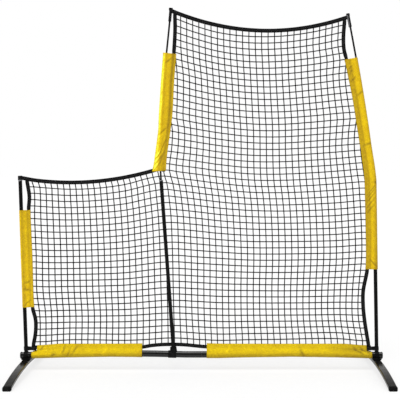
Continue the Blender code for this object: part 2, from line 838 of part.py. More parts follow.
# Uprights: steel tubes with spigots, plugs and ferrules
axis_left = left_head - left_foot
axis_middle = middle_top - middle_foot
axis_right = right_top - right_foot
for name, foot, axis, tube in (
        ("left", left_foot, axis_left, base_left), ("right", right_foot, axis_right, base_right)):
    drill(tube, foot, axis, base_radius + overrun, upright_bore)
    drill(tube, foot, -upward, base_radius + overrun, bolt_hole_radius)
    turned(
        f"{name}_spigot", foot + axis.normalized() * spigot_foot, axis,
        tube_profile(spigot_length, spigot_radius, spigot_wall), metal_look, bored=True)
    upright = turned(
        f"{name}_upright", foot, axis, tube_profile(axis.length, upright_radius, upright_wall), steel_look,
        bored=True)
    run = base_run(foot.x)
    drill(upright, foot - run * 2 * base_radius, run, 4 * base_radius, base_radius + clearance)

tee_run = base_run(tee_shift)
tee_middle = on_base(tee_shift)
tee = turned(
    "tee_fitting", tee_middle - tee_run * tee_length / 2, tee_run,
    ((0, tee_radius), (tee_length, tee_radius)), plastic_look)
neck = turned(
    "tee_neck", middle_foot, axis_middle, ((0, tee_radius), (tee_neck_height, tee_neck_radius)), None)
cut(tee, neck, "UNION")
drill(tee, tee_middle - tee_run * tee_length, tee_run, 2 * tee_length, base_radius + clearance)
middle_seat = base_radius + clearance + tee_floor
middle_axis = axis_middle.normalized()
drill(tee, middle_foot + middle_axis * middle_seat, axis_middle, tee_neck_height, upright_radius + clearance)
middle_tube_start = middle_foot + middle_axis * (middle_seat + clearance)
turned(
    "middle_upright", middle_tube_start, axis_middle,
    tube_profile((middle_top - middle_tube_start).length, upright_radius, upright_wall), steel_look,
    bored=True)

turned(
    "left_upright_plug", left_head + axis_left.normalized() * clearance, axis_left,
    ((-bush_length, spigot_radius), (0, spigot_radius), (0, collar_radius), (collar_height, collar_radius),
     (collar_height, stub_radius), (collar_height + stub_height, stub_radius)), metal_look)
ferrule_bore = rod_radius + clearance
for name, top, axis in (("middle", middle_top, axis_middle), ("right", right_top, axis_right)):
    turned(
        f"{name}_ferrule", top + axis.normalized() * clearance, axis,
        ((-bush_length, spigot_radius), (0, spigot_radius), (0, collar_radius),
         (collar_height - clearance, collar_radius), (collar_height - clearance, ferrule_bore),
         (-bush_length, ferrule_bore)), metal_look, bored=True)


def rod_path(pole, head_height, steps):
    foot = upright_top - rod_insert
    path = [Vector((pole(foot), 0, foot)), Vector((pole(rod_base_height), 0, rod_base_height))]
    for step in range(1, steps + 1):
        height = rod_base_height + (head_height - rod_base_height) * step / steps
        path.append(Vector((pole(height), 0, height)))
    return path


tip_gap = tip_wall + clearance
pocket_gap = fabric_thick + clearance
for name, pole, head in (
        ("middle", middle_pole, middle_head_height), ("right", right_pole, right_head_height)):
    rod_head = head - pocket_gap - tip_gap
    rod = rod_path(pole, rod_head, 14)
    loft(f"{name}_rod", swept_rings(rod, rod_radius, rod_sides), (rod_color, 0.35, 0), rod[0])
    tip_foot = rod_head - tip_length
    tip_marks = (tip_foot, tip_foot + tip_length / 2, rod_head + clearance)
    tip_inner = [Vector((pole(height), 0, height)) for height in tip_marks]
    tip_outer = tip_inner[:2] + [Vector((pole(head - pocket_gap), 0, head - pocket_gap))]
    cup(
        f"{name}_rod_tip", swept_rings(tip_outer, rod_radius + tip_gap, rod_sides),
        swept_rings(tip_inner, rod_radius + clearance, rod_sides), plastic_look, tip_inner[0])
    pocket_foot = head - pocket_length
    pocket_marks = [pocket_foot + (head - pocket_foot) * step / 4 for step in range(5)]
    outer_line = [Vector((pole(height), 0, height)) for height in pocket_marks]
    inner_line = outer_line[:4] + [Vector((pole(head - fabric_thick), 0, head - fabric_thick))]
    cup(
        f"{name}_pocket", swept_rings(outer_line, pocket_radius, rod_sides),
        swept_rings(inner_line, pocket_radius - fabric_thick, rod_sides), cloth_look, outer_line[0])

stub_foot = left_head + axis_left.normalized() * (collar_height + 2 * clearance)
stub_head = stub_foot + axis_left.normalized() * (stub_height + fabric_thick)
cup(
    "left_pocket",
    [ring_about(point, axis_left, left_pocket_radius, round_sides) for point in (stub_foot, stub_head)],
    [ring_about(point, axis_left, left_pocket_radius - fabric_thick, round_sides)
     for point in (stub_foot, stub_head - axis_left.normalized() * fabric_thick)],
    cloth_look, stub_foot)

# Net, webbing edges and corner straps
low_top_start = pole_side(left_pole, low_top_left_height, left_pocket_radius, 1)
low_top_end = middle_edge(middle_edge_foot) - half_web - clearance
tall_top_start = pole_side(middle_pole, tall_top_left_height, pocket_radius, 1)
tall_top_end = pole_side(right_pole, tall_top_right_height, pocket_radius, -1)
low_top_strip = across_strip(low_top, low_top_start, low_top_end, 22)
tall_top_strip = across_strip(tall_top, tall_top_start, tall_top_end, 24)
left_strip = side_strip(left_edge, side_foot_height, left_edge_top, 20)
right_strip = side_strip(right_edge, side_foot_height, right_edge_top, 34)
middle_strip = side_strip(middle_edge, middle_edge_foot, middle_edge_top, 20)
hem_strip = across_strip(hem_line, hem_left, hem_right, 40)
webbing("webbing_low_top", low_top_strip)
webbing("webbing_tall_top", tall_top_strip)
webbing("webbing_left_side", left_strip)
webbing("webbing_right_side", right_strip)
webbing("webbing_middle", middle_strip)
webbing("webbing_hem", hem_strip)
left_border = border(left_strip, 1)
middle_border = border(middle_strip, 1)
right_border = border(right_strip, 0)
hem_border = border(hem_strip, 1)
low_top_border = border(low_top_strip, 0)
tall_top_border = border(tall_top_strip, 0)


def low_net_left(height):
    return read_border(left_border, 1, height) + clearance


def low_net_right(height):
    return split_line(height) - clearance / 2


def tall_net_left(height):
    if height < middle_edge_foot:
        return split_line(height) + clearance / 2
    return read_border(middle_border, 1, height) + clearance


def tall_net_right(height):
    return read_border(right_border, 1, height) - clearance


def net_bottom(across):
    return read_border(hem_border, 0, across) + clearance


def low_net_top(across):
    return read_border(low_top_border, 0, across) - clearance


def tall_net_top(across):
    return read_border(tall_top_border, 0, across) - clearance


net("net_low", net_low_cells, (low_net_left, low_net_right, net_bottom, low_net_top))
net("net_tall", net_tall_cells, (tall_net_left, tall_net_right, net_bottom, tall_net_top))
for name, pole, side in (("left", left_pole, 1), ("right", right_pole, -1)):
    rings = []
    for height in (base_height + strap_lift, base_height + strap_lift + strap_height):
        halves = []
        for grow in (webbing_thick, 0):
            tip = webbing_thick / 2 + clearance + grow
            size = (upright_radius + clearance + grow) / math.cos(math.pi / 16)
            half = [(strap_reach, tip)]
            for step in range(9):
                angle = math.pi * (step + 8) / 16
                half.append((size * math.cos(angle), size * math.sin(angle)))
            halves.append(half + [(reach, -back) for reach, back in half[-2::-1]])
        outline = halves[0] + halves[1][::-1]
        rings.append([Vector((pole(height) + side * reach, back, height)) for reach, back in outline])
    loft(f"corner_strap_{name}", rings, cloth_look, Vector((pole(base_height), 0, base_height)))

# Sleeves
side_sleeve("sleeve_left", left_pole, left_edge, upright_radius, left_sleeve_foot, left_sleeve_length, 1)
side_sleeve(
    "sleeve_right", right_pole, right_edge, collar_radius, right_sleeve_foot, right_sleeve_length, -1)
middle_stations = []
middle_steps = sleeve_steps(middle_sleeve_length)
for step in range(middle_steps + 1):
    height = middle_sleeve_foot + middle_sleeve_length * step / middle_steps
    lean = (middle_pole(height + slope_step) - middle_pole(height - slope_step)) / (2 * slope_step)
    towards = Vector((1, 0, -lean)).normalized()
    edge_height = max(height, middle_edge_foot)
    reach = middle_edge(edge_height) - middle_pole(edge_height) + half_web - lobe_radius + clearance
    far = webbing_width * table_value(middle_lobe_shares, step / middle_steps)
    edge_across = middle_edge(edge_height)
    behind = depth(edge_across, edge_height)
    lobe = max(rod_radius, behind + webbing_thick) + clearance
    shape = (max(far - lobe - fabric_thick, 0), lobe, lobe, reach, lobe_radius, behind)
    middle_stations.append((Vector((middle_pole(height), 0, height)), towards, shape, 0))
sleeve_middle = sleeve("sleeve_middle", middle_stations)
corner_across = middle_pole(low_top_corner_height)
sleeve_side = corner_across - middle_lobe_shares[0][1] * webbing_width
slot_half = webbing_thick / 2 + 2 * clearance
slot_depth = depth(sleeve_side, low_top_corner_height)
box_cutter(
    sleeve_middle,
    Vector((sleeve_side - webbing_width, slot_depth - slot_half, middle_sleeve_foot - overrun)),
    Vector((sleeve_side + webbing_width, slot_depth + slot_half, low_top_corner_height)))
low_left_sleeve_end = tee_shift - tee_length / 2 - low_left_sleeve_gap
for name, start, end, turn in (
        ("left", hem_left + low_left_sleeve_inset, low_left_sleeve_end, 1),
        ("right", low_right_sleeve_start, hem_right - low_right_sleeve_inset, -1)):
    length = end - start
    steps = sleeve_steps(length)
    stations = []
    for step in range(steps + 1):
        across = start + length * step / steps
        reach = hem_line(across) - base_line(across) + half_web - lobe_radius + clearance
        shape = (
            0, base_radius + 3 * clearance, base_radius + 3 * clearance, reach, lobe_radius,
            depth(across, hem_line(across)))
        at_corner = step == (0 if turn == 1 else steps)
        slant = 0
        origin = on_base(across)
        if at_corner:
            slant = turn * low_sleeve_step / (reach + base_radius)
            origin.x -= turn * low_sleeve_step * reach / (reach + base_radius)
        stations.append((origin, upward.copy(), shape, slant))
    sleeve(f"sleeve_low_{name}", stations)

# The part's origin is on the floor under the middle of its outline
bpy.context.view_layer.update()
corners = []
for made in bpy.context.scene.objects:
    if made.type == "MESH" and not made.hide_render:
        corners += [made.matrix_world @ Vector(corner) for corner in made.bound_box]
lowest = min(corner.x for corner in corners)
highest = max(corner.x for corner in corners)
frame_empty.location.x = -(lowest + highest) / 2
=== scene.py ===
import math

import bmesh
import bpy
import numpy as np
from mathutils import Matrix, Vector, noise


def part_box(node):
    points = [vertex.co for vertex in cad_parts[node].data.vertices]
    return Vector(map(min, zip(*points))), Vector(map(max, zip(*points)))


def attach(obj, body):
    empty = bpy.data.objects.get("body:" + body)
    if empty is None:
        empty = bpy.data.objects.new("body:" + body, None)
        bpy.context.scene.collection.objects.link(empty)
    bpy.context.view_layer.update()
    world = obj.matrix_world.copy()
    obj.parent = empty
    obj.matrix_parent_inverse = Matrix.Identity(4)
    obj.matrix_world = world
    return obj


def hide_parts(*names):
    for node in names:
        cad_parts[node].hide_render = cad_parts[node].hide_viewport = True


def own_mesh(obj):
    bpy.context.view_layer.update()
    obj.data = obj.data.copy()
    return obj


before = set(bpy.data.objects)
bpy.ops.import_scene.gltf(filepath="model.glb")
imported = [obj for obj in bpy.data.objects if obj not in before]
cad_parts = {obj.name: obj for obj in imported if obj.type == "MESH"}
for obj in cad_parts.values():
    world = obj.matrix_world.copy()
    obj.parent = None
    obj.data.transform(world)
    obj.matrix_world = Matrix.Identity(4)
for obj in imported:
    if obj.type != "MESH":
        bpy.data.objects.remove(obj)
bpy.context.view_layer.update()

# The photo's camera, in metres and in the photo's pixels
PHOTO = 400                     # the photo's width and height
SCALE = 169.4                   # pixels to the metre in the plane of the net
FLOOR_PIXEL = 371.0             # the floor under the net
MIDDLE_PIXEL = 201.5            # the middle of the base
CENTRE = (216.1, 172.5)         # the point that the camera faces
DISTANCE = 4.838
SHIFT = 0.007884                # the part's origin is under the middle of its outline

# Shape of the frame, as in the part's source, measured from the middle of the base
upright_top = 1.1216
base_half = 1.067
base_height = 0.0925
base_bow = 0.013
upright_radius = 0.011
collar_radius = 0.0125
collar_height = 0.006
rod_radius = 0.0055
web = 0.0195
web_thick = 0.0020
head_middle = 2.1430
head_right = 2.1100
low_left = 1.1388
low_corner = 1.1960
low_sag = 0.0506
tall_left = 2.1275
tall_right = 2.0890
tall_sag = 0.0985
base_radius = 0.019
gap = 0.0003
rod_foot = upright_top + collar_height
half_web = web / 2

# Where the bowed base and the webbing run: (share of the way along, distance in heights or widths)
bow_shares = (
    (0.0, 0.42), (0.0846, 0.42), (0.25, 0.75), (0.5, 1.0), (0.75, 0.72), (0.9222, 0.27), (1.0, 0.0))
left_edge_shares = (
    (0.0, 2.20), (0.077, 3.02), (0.154, 3.19), (0.238, 2.36), (0.537, 2.36), (0.827, 2.26),
    (0.907, 2.59), (1.0, 2.05))
middle_edge_shares = (
    (0.0, 0.87), (0.071, 1.23), (0.246, 2.26), (0.379, 2.67), (0.600, 2.36), (0.758, 2.21),
    (0.902, 1.88), (1.0, 1.38))
right_edge_shares = (
    (0.0, 2.41), (0.076, 3.50), (0.123, 3.88), (0.169, 3.77), (0.236, 2.46), (0.325, 2.21),
    (0.570, 2.41), (0.675, 2.59), (0.771, 2.62), (0.879, 2.97), (0.913, 3.18), (0.953, 2.59),
    (1.0, 1.38))
hem_shares = (
    (0.0, 2.465), (0.324, 2.54), (0.350, 2.92), (0.378, 3.12), (0.415, 3.18), (0.450, 3.09), (0.482, 2.86),
    (0.5155, 2.60), (0.570, 2.465), (1.0, 2.465))
middle_lobe_shares = (
    (0.0, 2.51), (0.094, 1.77), (0.325, 0.72), (0.4375, 0.68), (0.671, 0.76), (1.0, 1.05))


def straight_value(table, share):
    for start, end in zip(table, table[1:]):
        if share <= end[0]:
            break
    return start[1] + (end[1] - start[1]) * (share - start[0]) / (end[0] - start[0])


def base_line(across):
    return base_height + base_bow * straight_value(bow_shares, abs(across) / base_half)


def hermite(start, end, rise_in, rise_out, part):
    square = part * part
    cube = square * part
    return (
        (2 * cube - 3 * square + 1) * start + (cube - 2 * square + part) * rise_in
        + (3 * square - 2 * cube) * end + (cube - square) * rise_out)


def table_value(table, share):
    share = min(max(share, table[0][0]), table[-1][0])
    for number in range(len(table) - 1):
        if share <= table[number + 1][0]:
            break
    start, end = table[number], table[number + 1]
    before = table[max(number - 1, 0)]
    after = table[min(number + 2, len(table) - 1)]
    width = end[0] - start[0]
    part = (share - start[0]) / width
    rise_in = (end[1] - before[1]) / (end[0] - before[0]) * width
    rise_out = (after[1] - start[1]) / (after[0] - start[0]) * width
    return hermite(start[1], end[1], rise_in, rise_out, part)


def smooth(share):
    share = min(max(share, 0), 1)
    return share * share * (3 - 2 * share)


left_foot, middle_foot, right_foot = (Vector((x, 0, base_line(x))) for x in (-1.034, -0.1635, 1.034))
left_head, middle_top, right_top = (
    Vector((foot.x - lean, 0, upright_top))
    for foot, lean in ((left_foot, 0.036), (middle_foot, 0.0748), (right_foot, 0.0153)))


def on_line(foot, head, height):
    return foot.x + (head.x - foot.x) * (height - foot.z) / (head.z - foot.z)


def left_pole(height):
    return on_line(left_foot, left_head, height)


def bent_pole(foot, top, head_shift, head_height, slopes):
    """The middle of an upright and of the rod on it, bent by the net, at each height."""
    length = head_height - rod_foot
    start = on_line(foot, top, rod_foot)

    def middle(height):
        if height <= rod_foot:
            return on_line(foot, top, height)
        part = (height - rod_foot) / length
        return hermite(start, top.x + head_shift, slopes[0] * length, slopes[1] * length, part)
    return middle


def sagged(left, right, height_left, height_right, sag):
    """The middle of a top webbing, sagging between its ends."""
    def middle(across):
        part = (across - left) / (right - left)
        return height_left + (height_right - height_left) * part - 4 * sag * part * (1 - part)
    return middle


middle_pole = bent_pole(middle_foot, middle_top, 0.0578, head_middle, (-0.0734, 0.085))
right_pole = bent_pole(right_foot, right_top, -0.1551, head_right, (-0.10, -0.19))
low_top = sagged(left_head.x, middle_pole(low_corner), low_left, low_corner, low_sag)
tall_top = sagged(middle_pole(head_middle), right_pole(head_right), tall_left, tall_right, tall_sag)


def lower_edge(center, across):
    slope = (center(across + half_web) - center(across - half_web)) / web
    return center(across) - half_web * math.sqrt(1 + slope * slope)


def top_end(top, across):
    return min(lower_edge(top, across - half_web), lower_edge(top, across + half_web)) - gap


side_foot = base_height + hem_shares[0][1] * web + half_web + gap
left_end = top_end(low_top, left_head.x + left_edge_shares[-1][1] * web)
corner_foot = lower_edge(low_top, middle_pole(low_corner))
middle_end = top_end(tall_top, middle_pole(tall_left) + middle_edge_shares[-1][1] * web)
right_end = top_end(tall_top, right_pole(tall_right) - right_edge_shares[-1][1] * web)
hem_left, hem_right = left_foot.x + 0.034, right_foot.x - 0.034


def hem_line(across):
    return base_height + web * table_value(hem_shares, (across - hem_left) / (hem_right - hem_left))


def edge_line(pole, shares, foot, end, side=1):
    """The middle of the webbing beside a pole, at each height."""
    return lambda height: pole(height) + side * web * table_value(shares, (height - foot) / (end - foot))


left_edge = edge_line(left_pole, left_edge_shares, side_foot, left_end)
middle_edge = edge_line(middle_pole, middle_edge_shares, corner_foot, middle_end)
right_edge = edge_line(right_pole, right_edge_shares, side_foot, right_end, -1)
tube_back = upright_radius + gap + 0.0015
rod_back = rod_radius + gap + web_thick / 2


def depth(across, height):
    """How far back the net and its webbing hang: behind the middle upright, and level with its rod."""
    settle = smooth((height - corner_foot) / 0.200)
    fall = smooth((height - rod_foot) / (corner_foot - rod_foot))
    back = (tube_back + (rod_back - tube_back) * fall) * (1 - settle)
    away = abs(across - middle_pole(min(height, head_middle)))
    near = web * middle_edge_shares[0][1] + half_web
    return back * (1 - smooth((away - near) / 0.150))


# Materials
class Look:
    """The nodes of a material or of the world, with the few kinds of node that are used here."""

    def __init__(self, owner, shader="Principled BSDF"):
        owner.use_nodes = True
        self.owner, self.tree = owner, owner.node_tree
        self.shader = self.tree.nodes[shader]

    def put(self, socket, value):
        """Links the socket to another one, or sets it."""
        if isinstance(value, bpy.types.NodeSocket):
            self.tree.links.new(value, socket)
        else:
            socket.default_value = (*value, 1) if socket.type == "RGBA" else value

    def give(self, node, sockets):
        for key, value in sockets.items():
            self.put(node.inputs[key.replace("_", " ")], value)
        return node

    def shade(self, **sockets):
        self.give(self.shader, sockets)

    def add(self, kind, settings=None, **sockets):
        node = self.tree.nodes.new(kind)
        for key, value in (settings or {}).items():
            setattr(node, key, value)
        return self.give(node, sockets)

    def place(self, stretch=(1, 1, 1)):
        vector = self.add("ShaderNodeTexCoord").outputs["Object"]
        return self.add("ShaderNodeMapping", Vector=vector, Scale=stretch).outputs["Vector"]

    def ramp(self, value, low, first, high, second):
        """From the first colour to the second as value goes from low to high. A plain number is a grey."""
        node = self.add("ShaderNodeValToRGB", Fac=value)
        for end, place, color in zip(node.color_ramp.elements, (low, high), (first, second)):
            end.position = place
            end.color = (*color, 1) if isinstance(color, tuple) else (color, color, color, 1)
        return node.outputs["Color"]

    def calc(self, operation, first, second):
        node = self.add("ShaderNodeMath", {"operation": operation})
        self.put(node.inputs[0], first)
        self.put(node.inputs[1], second)
        return node.outputs[0]

    def mix(self, share, first, second, blend="MIX"):
        node = self.add("ShaderNodeMix", {"data_type": "RGBA", "blend_type": blend})
        for number, value in ((0, share), (6, first), (7, second)):
            self.put(node.inputs[number], value)
        return node.outputs[2]

    def noise(self, vector, scale, detail, rough, distortion=0.0):
        return self.add(
            "ShaderNodeTexNoise", Vector=vector, Scale=scale, Detail=detail, Roughness=rough,
            Distortion=distortion).outputs["Fac"]

    def threads(self, vector, direction, scale):
        return self.add(
            "ShaderNodeTexWave", {"bands_direction": direction, "wave_profile": "SIN"},
            Vector=vector, Scale=scale, Distortion=0.4, Detail=1.0).outputs["Fac"]

    def bump(self, height, strength, distance, under=None):
        node = self.add("ShaderNodeBump", Height=height, Strength=strength, Distance=distance)
        if under is not None:
            self.put(node.inputs["Normal"], under)
        self.shade(Normal=node.outputs["Normal"])
        return node.outputs["Normal"]


def material(name):
    return Look(bpy.data.materials.new(name))


def lighter(color, times, more=0.0):
    return tuple(part * times + more for part in color)


def yellow_cloth(name, sunny, shady, worn):
    """Coated polyester: a fine weave with slubs, painted light and shade in random blotches between the sunny
    and the shady colour, and darker, slightly soiled specks.
    """
    look = material(name)
    place = look.place()
    patches = look.noise(place, 22.0, 5.0, 0.6)
    specks = look.noise(place, 260.0, 2.0, 0.7)
    # painted light and shade: blotches between the sunny and the shady colour of the same cloth
    cloth = look.ramp(patches, 0.30, shady, 0.62, sunny)
    speckled = look.mix(0.55, cloth, look.ramp(specks, 0.42, worn, 0.60, 1), "MULTIPLY")
    # tone: vertex colours, on the sleeves the cloth's own tone with painted shade and painted highlights
    tone = look.add("ShaderNodeVertexColor", {"layer_name": "tone"}).outputs["Color"]
    look.shade(
        Base_Color=look.mix(1.0, speckled, tone, "MULTIPLY"),
        Roughness=look.ramp(specks, 0.3, 0.52, 0.7, 0.66),
        Sheen_Weight=0.04, Sheen_Roughness=0.4, Specular_IOR_Level=0.12)
    weave = look.calc("MULTIPLY", look.threads(place, "X", 420.0), look.threads(place, "Z", 420.0))
    creases = look.noise(place, 46.0, 4.0, 0.6, 0.6)
    look.bump(creases, 0.35, 0.004, look.bump(weave, 0.25, 0.0004))
    return look.owner


def black_weave(name, dark, light, scale, strength, roughness=0.7):
    """Flat woven polyester: ribs across the strap, fine threads along it."""
    look = material(name)
    place = look.place()
    fine = look.noise(place, 900.0, 2.0, 0.6)
    look.shade(
        Base_Color=look.ramp(fine, 0.35, dark, 0.75, light), Roughness=roughness, Specular_IOR_Level=0.12)
    checks = look.add("ShaderNodeTexChecker", Vector=place, Scale=scale).outputs["Fac"]
    ribs = look.threads(place, "DIAGONAL", scale * 0.5)
    look.bump(look.calc("ADD", checks, ribs), strength, 0.0005)
    return look.owner


def gloss_paint(name, color, roughness, streaks, shine):
    """Powder coat with faint orange peel, dust and rubbed edges."""
    look = material(name)
    cloud = look.noise(look.place(streaks), 14.0, 5.0, 0.65)
    dust = look.ramp(cloud, 0.35, color, 0.75, lighter(color, 1.8, 0.002))
    edge = look.add("ShaderNodeNewGeometry").outputs["Pointiness"]
    rubbed = look.ramp(edge, 0.60, 0, 0.80, 1)
    look.shade(
        Base_Color=look.mix(rubbed, dust, lighter(color, 2.5, 0.008)),
        Roughness=look.ramp(cloud, 0.3, roughness * 0.75, 0.75, roughness * 1.5), Specular_IOR_Level=shine)
    look.bump(look.noise(look.place(), 700.0, 2.0, 0.5), 0.08, 0.0006)
    return look.owner


def moulded(name, color):
    """Moulded nylon with a spark-eroded grain."""
    look = material(name)
    place = look.place()
    cloud = look.noise(place, 30.0, 4.0, 0.6)
    look.shade(
        Base_Color=look.ramp(cloud, 0.35, color, 0.7, lighter(color, 1.7, 0.004)),
        Roughness=look.ramp(cloud, 0.3, 0.48, 0.7, 0.62), Specular_IOR_Level=0.10)
    grain = look.add("ShaderNodeTexVoronoi", Vector=place, Scale=900.0).outputs["Distance"]
    look.bump(grain, 0.25, 0.0004)
    return look.owner


def zinc(name, color, roughness, stretch):
    """Zinc plate with fine turning lines."""
    look = material(name)
    lines = look.noise(look.place(stretch), 320.0, 3.0, 0.6)
    look.shade(
        Base_Color=look.ramp(lines, 0.3, lighter(color, 0.75), 0.7, color), Metallic=1.0,
        Roughness=look.ramp(lines, 0.3, roughness * 0.8, 0.7, roughness * 1.3))
    look.bump(lines, 0.12, 0.0003)
    return look.owner


def fibreglass(name, color):
    """Pultruded rod: smooth, with faint lengthwise glass strands."""
    look = material(name)
    strands = look.noise(look.place((1, 1, 0.02)), 900.0, 2.0, 0.6)
    look.shade(
        Base_Color=look.ramp(strands, 0.35, color, 0.75, lighter(color, 2.2)),
        Roughness=look.ramp(strands, 0.3, 0.25, 0.7, 0.40), Specular_IOR_Level=0.25)
    look.bump(strands, 0.1, 0.0003)
    return look.owner


yellow = yellow_cloth("sleeve_cloth", (1.0, 0.69, 0.006), (0.90, 0.585, 0.006), (0.62, 0.58, 0.50))
thread_yellow = yellow_cloth("sleeve_thread", (0.80, 0.55, 0.01), (0.66, 0.43, 0.01), (0.8, 0.75, 0.6))
webbing_black = black_weave(
    "webbing_weave", (0.003, 0.003, 0.0033), (0.012, 0.012, 0.0125), 620.0, 0.45)
stitch_grey = black_weave("webbing_stitch", (0.055, 0.055, 0.058), (0.11, 0.11, 0.115), 900.0, 0.3)
cord_black = black_weave("net_cord", (0.004, 0.004, 0.0044), (0.014, 0.014, 0.015), 1400.0, 0.5, 0.75)
pocket_black = black_weave("pocket_cloth", (0.004, 0.004, 0.0045), (0.015, 0.015, 0.016), 780.0, 0.4)
# painted highlight: the pockets' black cloth drawn light grey on a fold
pocket_painted_highlight = black_weave("pocket_fold_painted_highlight", (0.10, 0.10, 0.105), (0.19, 0.19, 0.20), 780.0, 0.4)
leg_paint = gloss_paint("leg_paint", (0.0085, 0.0080, 0.0070), 0.17, (1, 0.15, 1), 0.45)
base_paint = gloss_paint("base_paint", (0.0025, 0.0025, 0.0025), 0.14, (0.15, 1, 1), 0.5)
upright_paint = gloss_paint("upright_paint", (0.0025, 0.0025, 0.0025), 0.34, (1, 1, 0.15), 0.07)
nylon = moulded("moulded_nylon", (0.0025, 0.0025, 0.0025))
plate_along = zinc("zinc_along", (0.60, 0.61, 0.63), 0.30, (0.05, 1, 1))
plate_up = zinc("zinc_up", (0.60, 0.61, 0.63), 0.28, (1, 1, 0.05))
rod_glass = fibreglass("rod_fibreglass", (0.002, 0.002, 0.002))

for made, names in (
        (base_paint, "base_tube_left base_tube_right"),
        (leg_paint, "left_leg right_leg"),
        (upright_paint, "left_upright middle_upright right_upright"),
        (nylon, "base_end_cap_left base_end_cap_right left_leg_cap_front left_leg_cap_rear left_leg_saddle"
                " right_leg_cap_front right_leg_cap_rear right_leg_saddle tee_fitting middle_rod_tip"
                " right_rod_tip"),
        (plate_along, "base_connector snap_button_spring"),
        (plate_up, "snap_button left_leg_bolt left_leg_washer left_leg_nut right_leg_bolt"
                   " right_leg_washer right_leg_nut left_spigot right_spigot left_upright_plug"
                   " middle_ferrule right_ferrule"),
        (rod_glass, "middle_rod right_rod")):
    for name in names.split():
        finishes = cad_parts[name].data.materials
        finishes.clear()
        finishes.append(made)


# Mesh making
def make(name, points, faces, made, replaced=(), tones=None, smooth_angle=45):
    mesh = bpy.data.meshes.new(name)
    mesh.from_pydata([(p[0] + SHIFT, p[1], p[2]) for p in points], [], faces)
    mesh.validate()
    if tones is not None:
        layer = mesh.color_attributes.new("tone", "FLOAT_COLOR", "POINT")
        layer.data.foreach_set("color", np.array(tones, np.float32).ravel())
    mesh.shade_smooth()
    mesh.set_sharp_from_angle(angle=math.radians(smooth_angle))
    mesh.materials.append(made)
    piece = bpy.data.objects.new(name, mesh)
    bpy.context.scene.collection.objects.link(piece)
    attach(piece, "frame")
    if replaced:
        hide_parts(*replaced)
    return piece


def face_outward(mesh):
    work = bmesh.new()
    work.from_mesh(mesh)
    bmesh.ops.recalc_face_normals(work, faces=work.faces)
    work.to_mesh(mesh)
    work.free()


def thicken(piece, thickness, offset):
    change = piece.modifiers.new("cloth", "SOLIDIFY")
    change.thickness, change.offset = thickness, offset


def run_at(path, number):
    """Direction of a line of points at one of them."""
    return (path[min(number + 1, len(path) - 1)] - path[max(number - 1, 0)]).normalized()


def outward_at(outline, number):
    """The unit vector square to a flat outline at one of its points."""
    before, after = outline[max(number - 1, 0)], outline[min(number + 1, len(outline) - 1)]
    return Vector((after[1] - before[1], before[0] - after[0])).normalized()


def ring_faces(faces, first, rings, sides, foot=True):
    """Joins rings of points, which begin at point number first, and closes the last and the first."""
    for ring in range(rings - 1):
        for step in range(sides):
            here, after = first + ring * sides + step, first + ring * sides + (step + 1) % sides
            faces.append((here, after, after + sides, here + sides))
    if foot:
        faces.append(tuple(range(first + sides - 1, first - 1, -1)))
    faces.append(tuple(range(first + (rings - 1) * sides, first + rings * sides)))


def tube_into(points, faces, path, radius, sides):
    """Adds a tube along the path to points and faces."""
    first = len(points)
    for number, point in enumerate(path):
        run = run_at(path, number)
        beside = Vector((0, 1, 0)) if abs(run.y) < 0.9 else Vector((0, 0, 1))
        across = beside.cross(run).normalized()
        up = run.cross(across)
        for step in range(sides):
            angle = 2 * math.pi * (step + 0.5) / sides
            points.append(point + across * radius * math.cos(angle) + up * radius * math.sin(angle))
    ring_faces(faces, first, len(path), sides)


# Webbing: woven straps with rolled selvedges, sewn along their middle
STITCH = 0.0125
WAVE = 0.0009                   # how far a strap waves out of its plane
FREE_SWELL = 0.16               # how much wider a side strap is drawn outside its sleeve


def strap_section(half, thick):
    """Outline of a strap: a thin middle with fuller selvedges, as (across, back) points."""
    inner, edge = half * 0.80, half * 0.95
    return (
        (-half, -thick * 0.25), (-edge, -thick * 0.62), (-inner, -thick * 0.42), (0, -thick * 0.46),
        (inner, -thick * 0.42), (edge, -thick * 0.62), (half, -thick * 0.25),
        (half, thick * 0.25), (edge, thick * 0.5), (inner, thick * 0.42), (0, thick * 0.46),
        (-inner, thick * 0.42), (-edge, thick * 0.5), (-half, thick * 0.25))


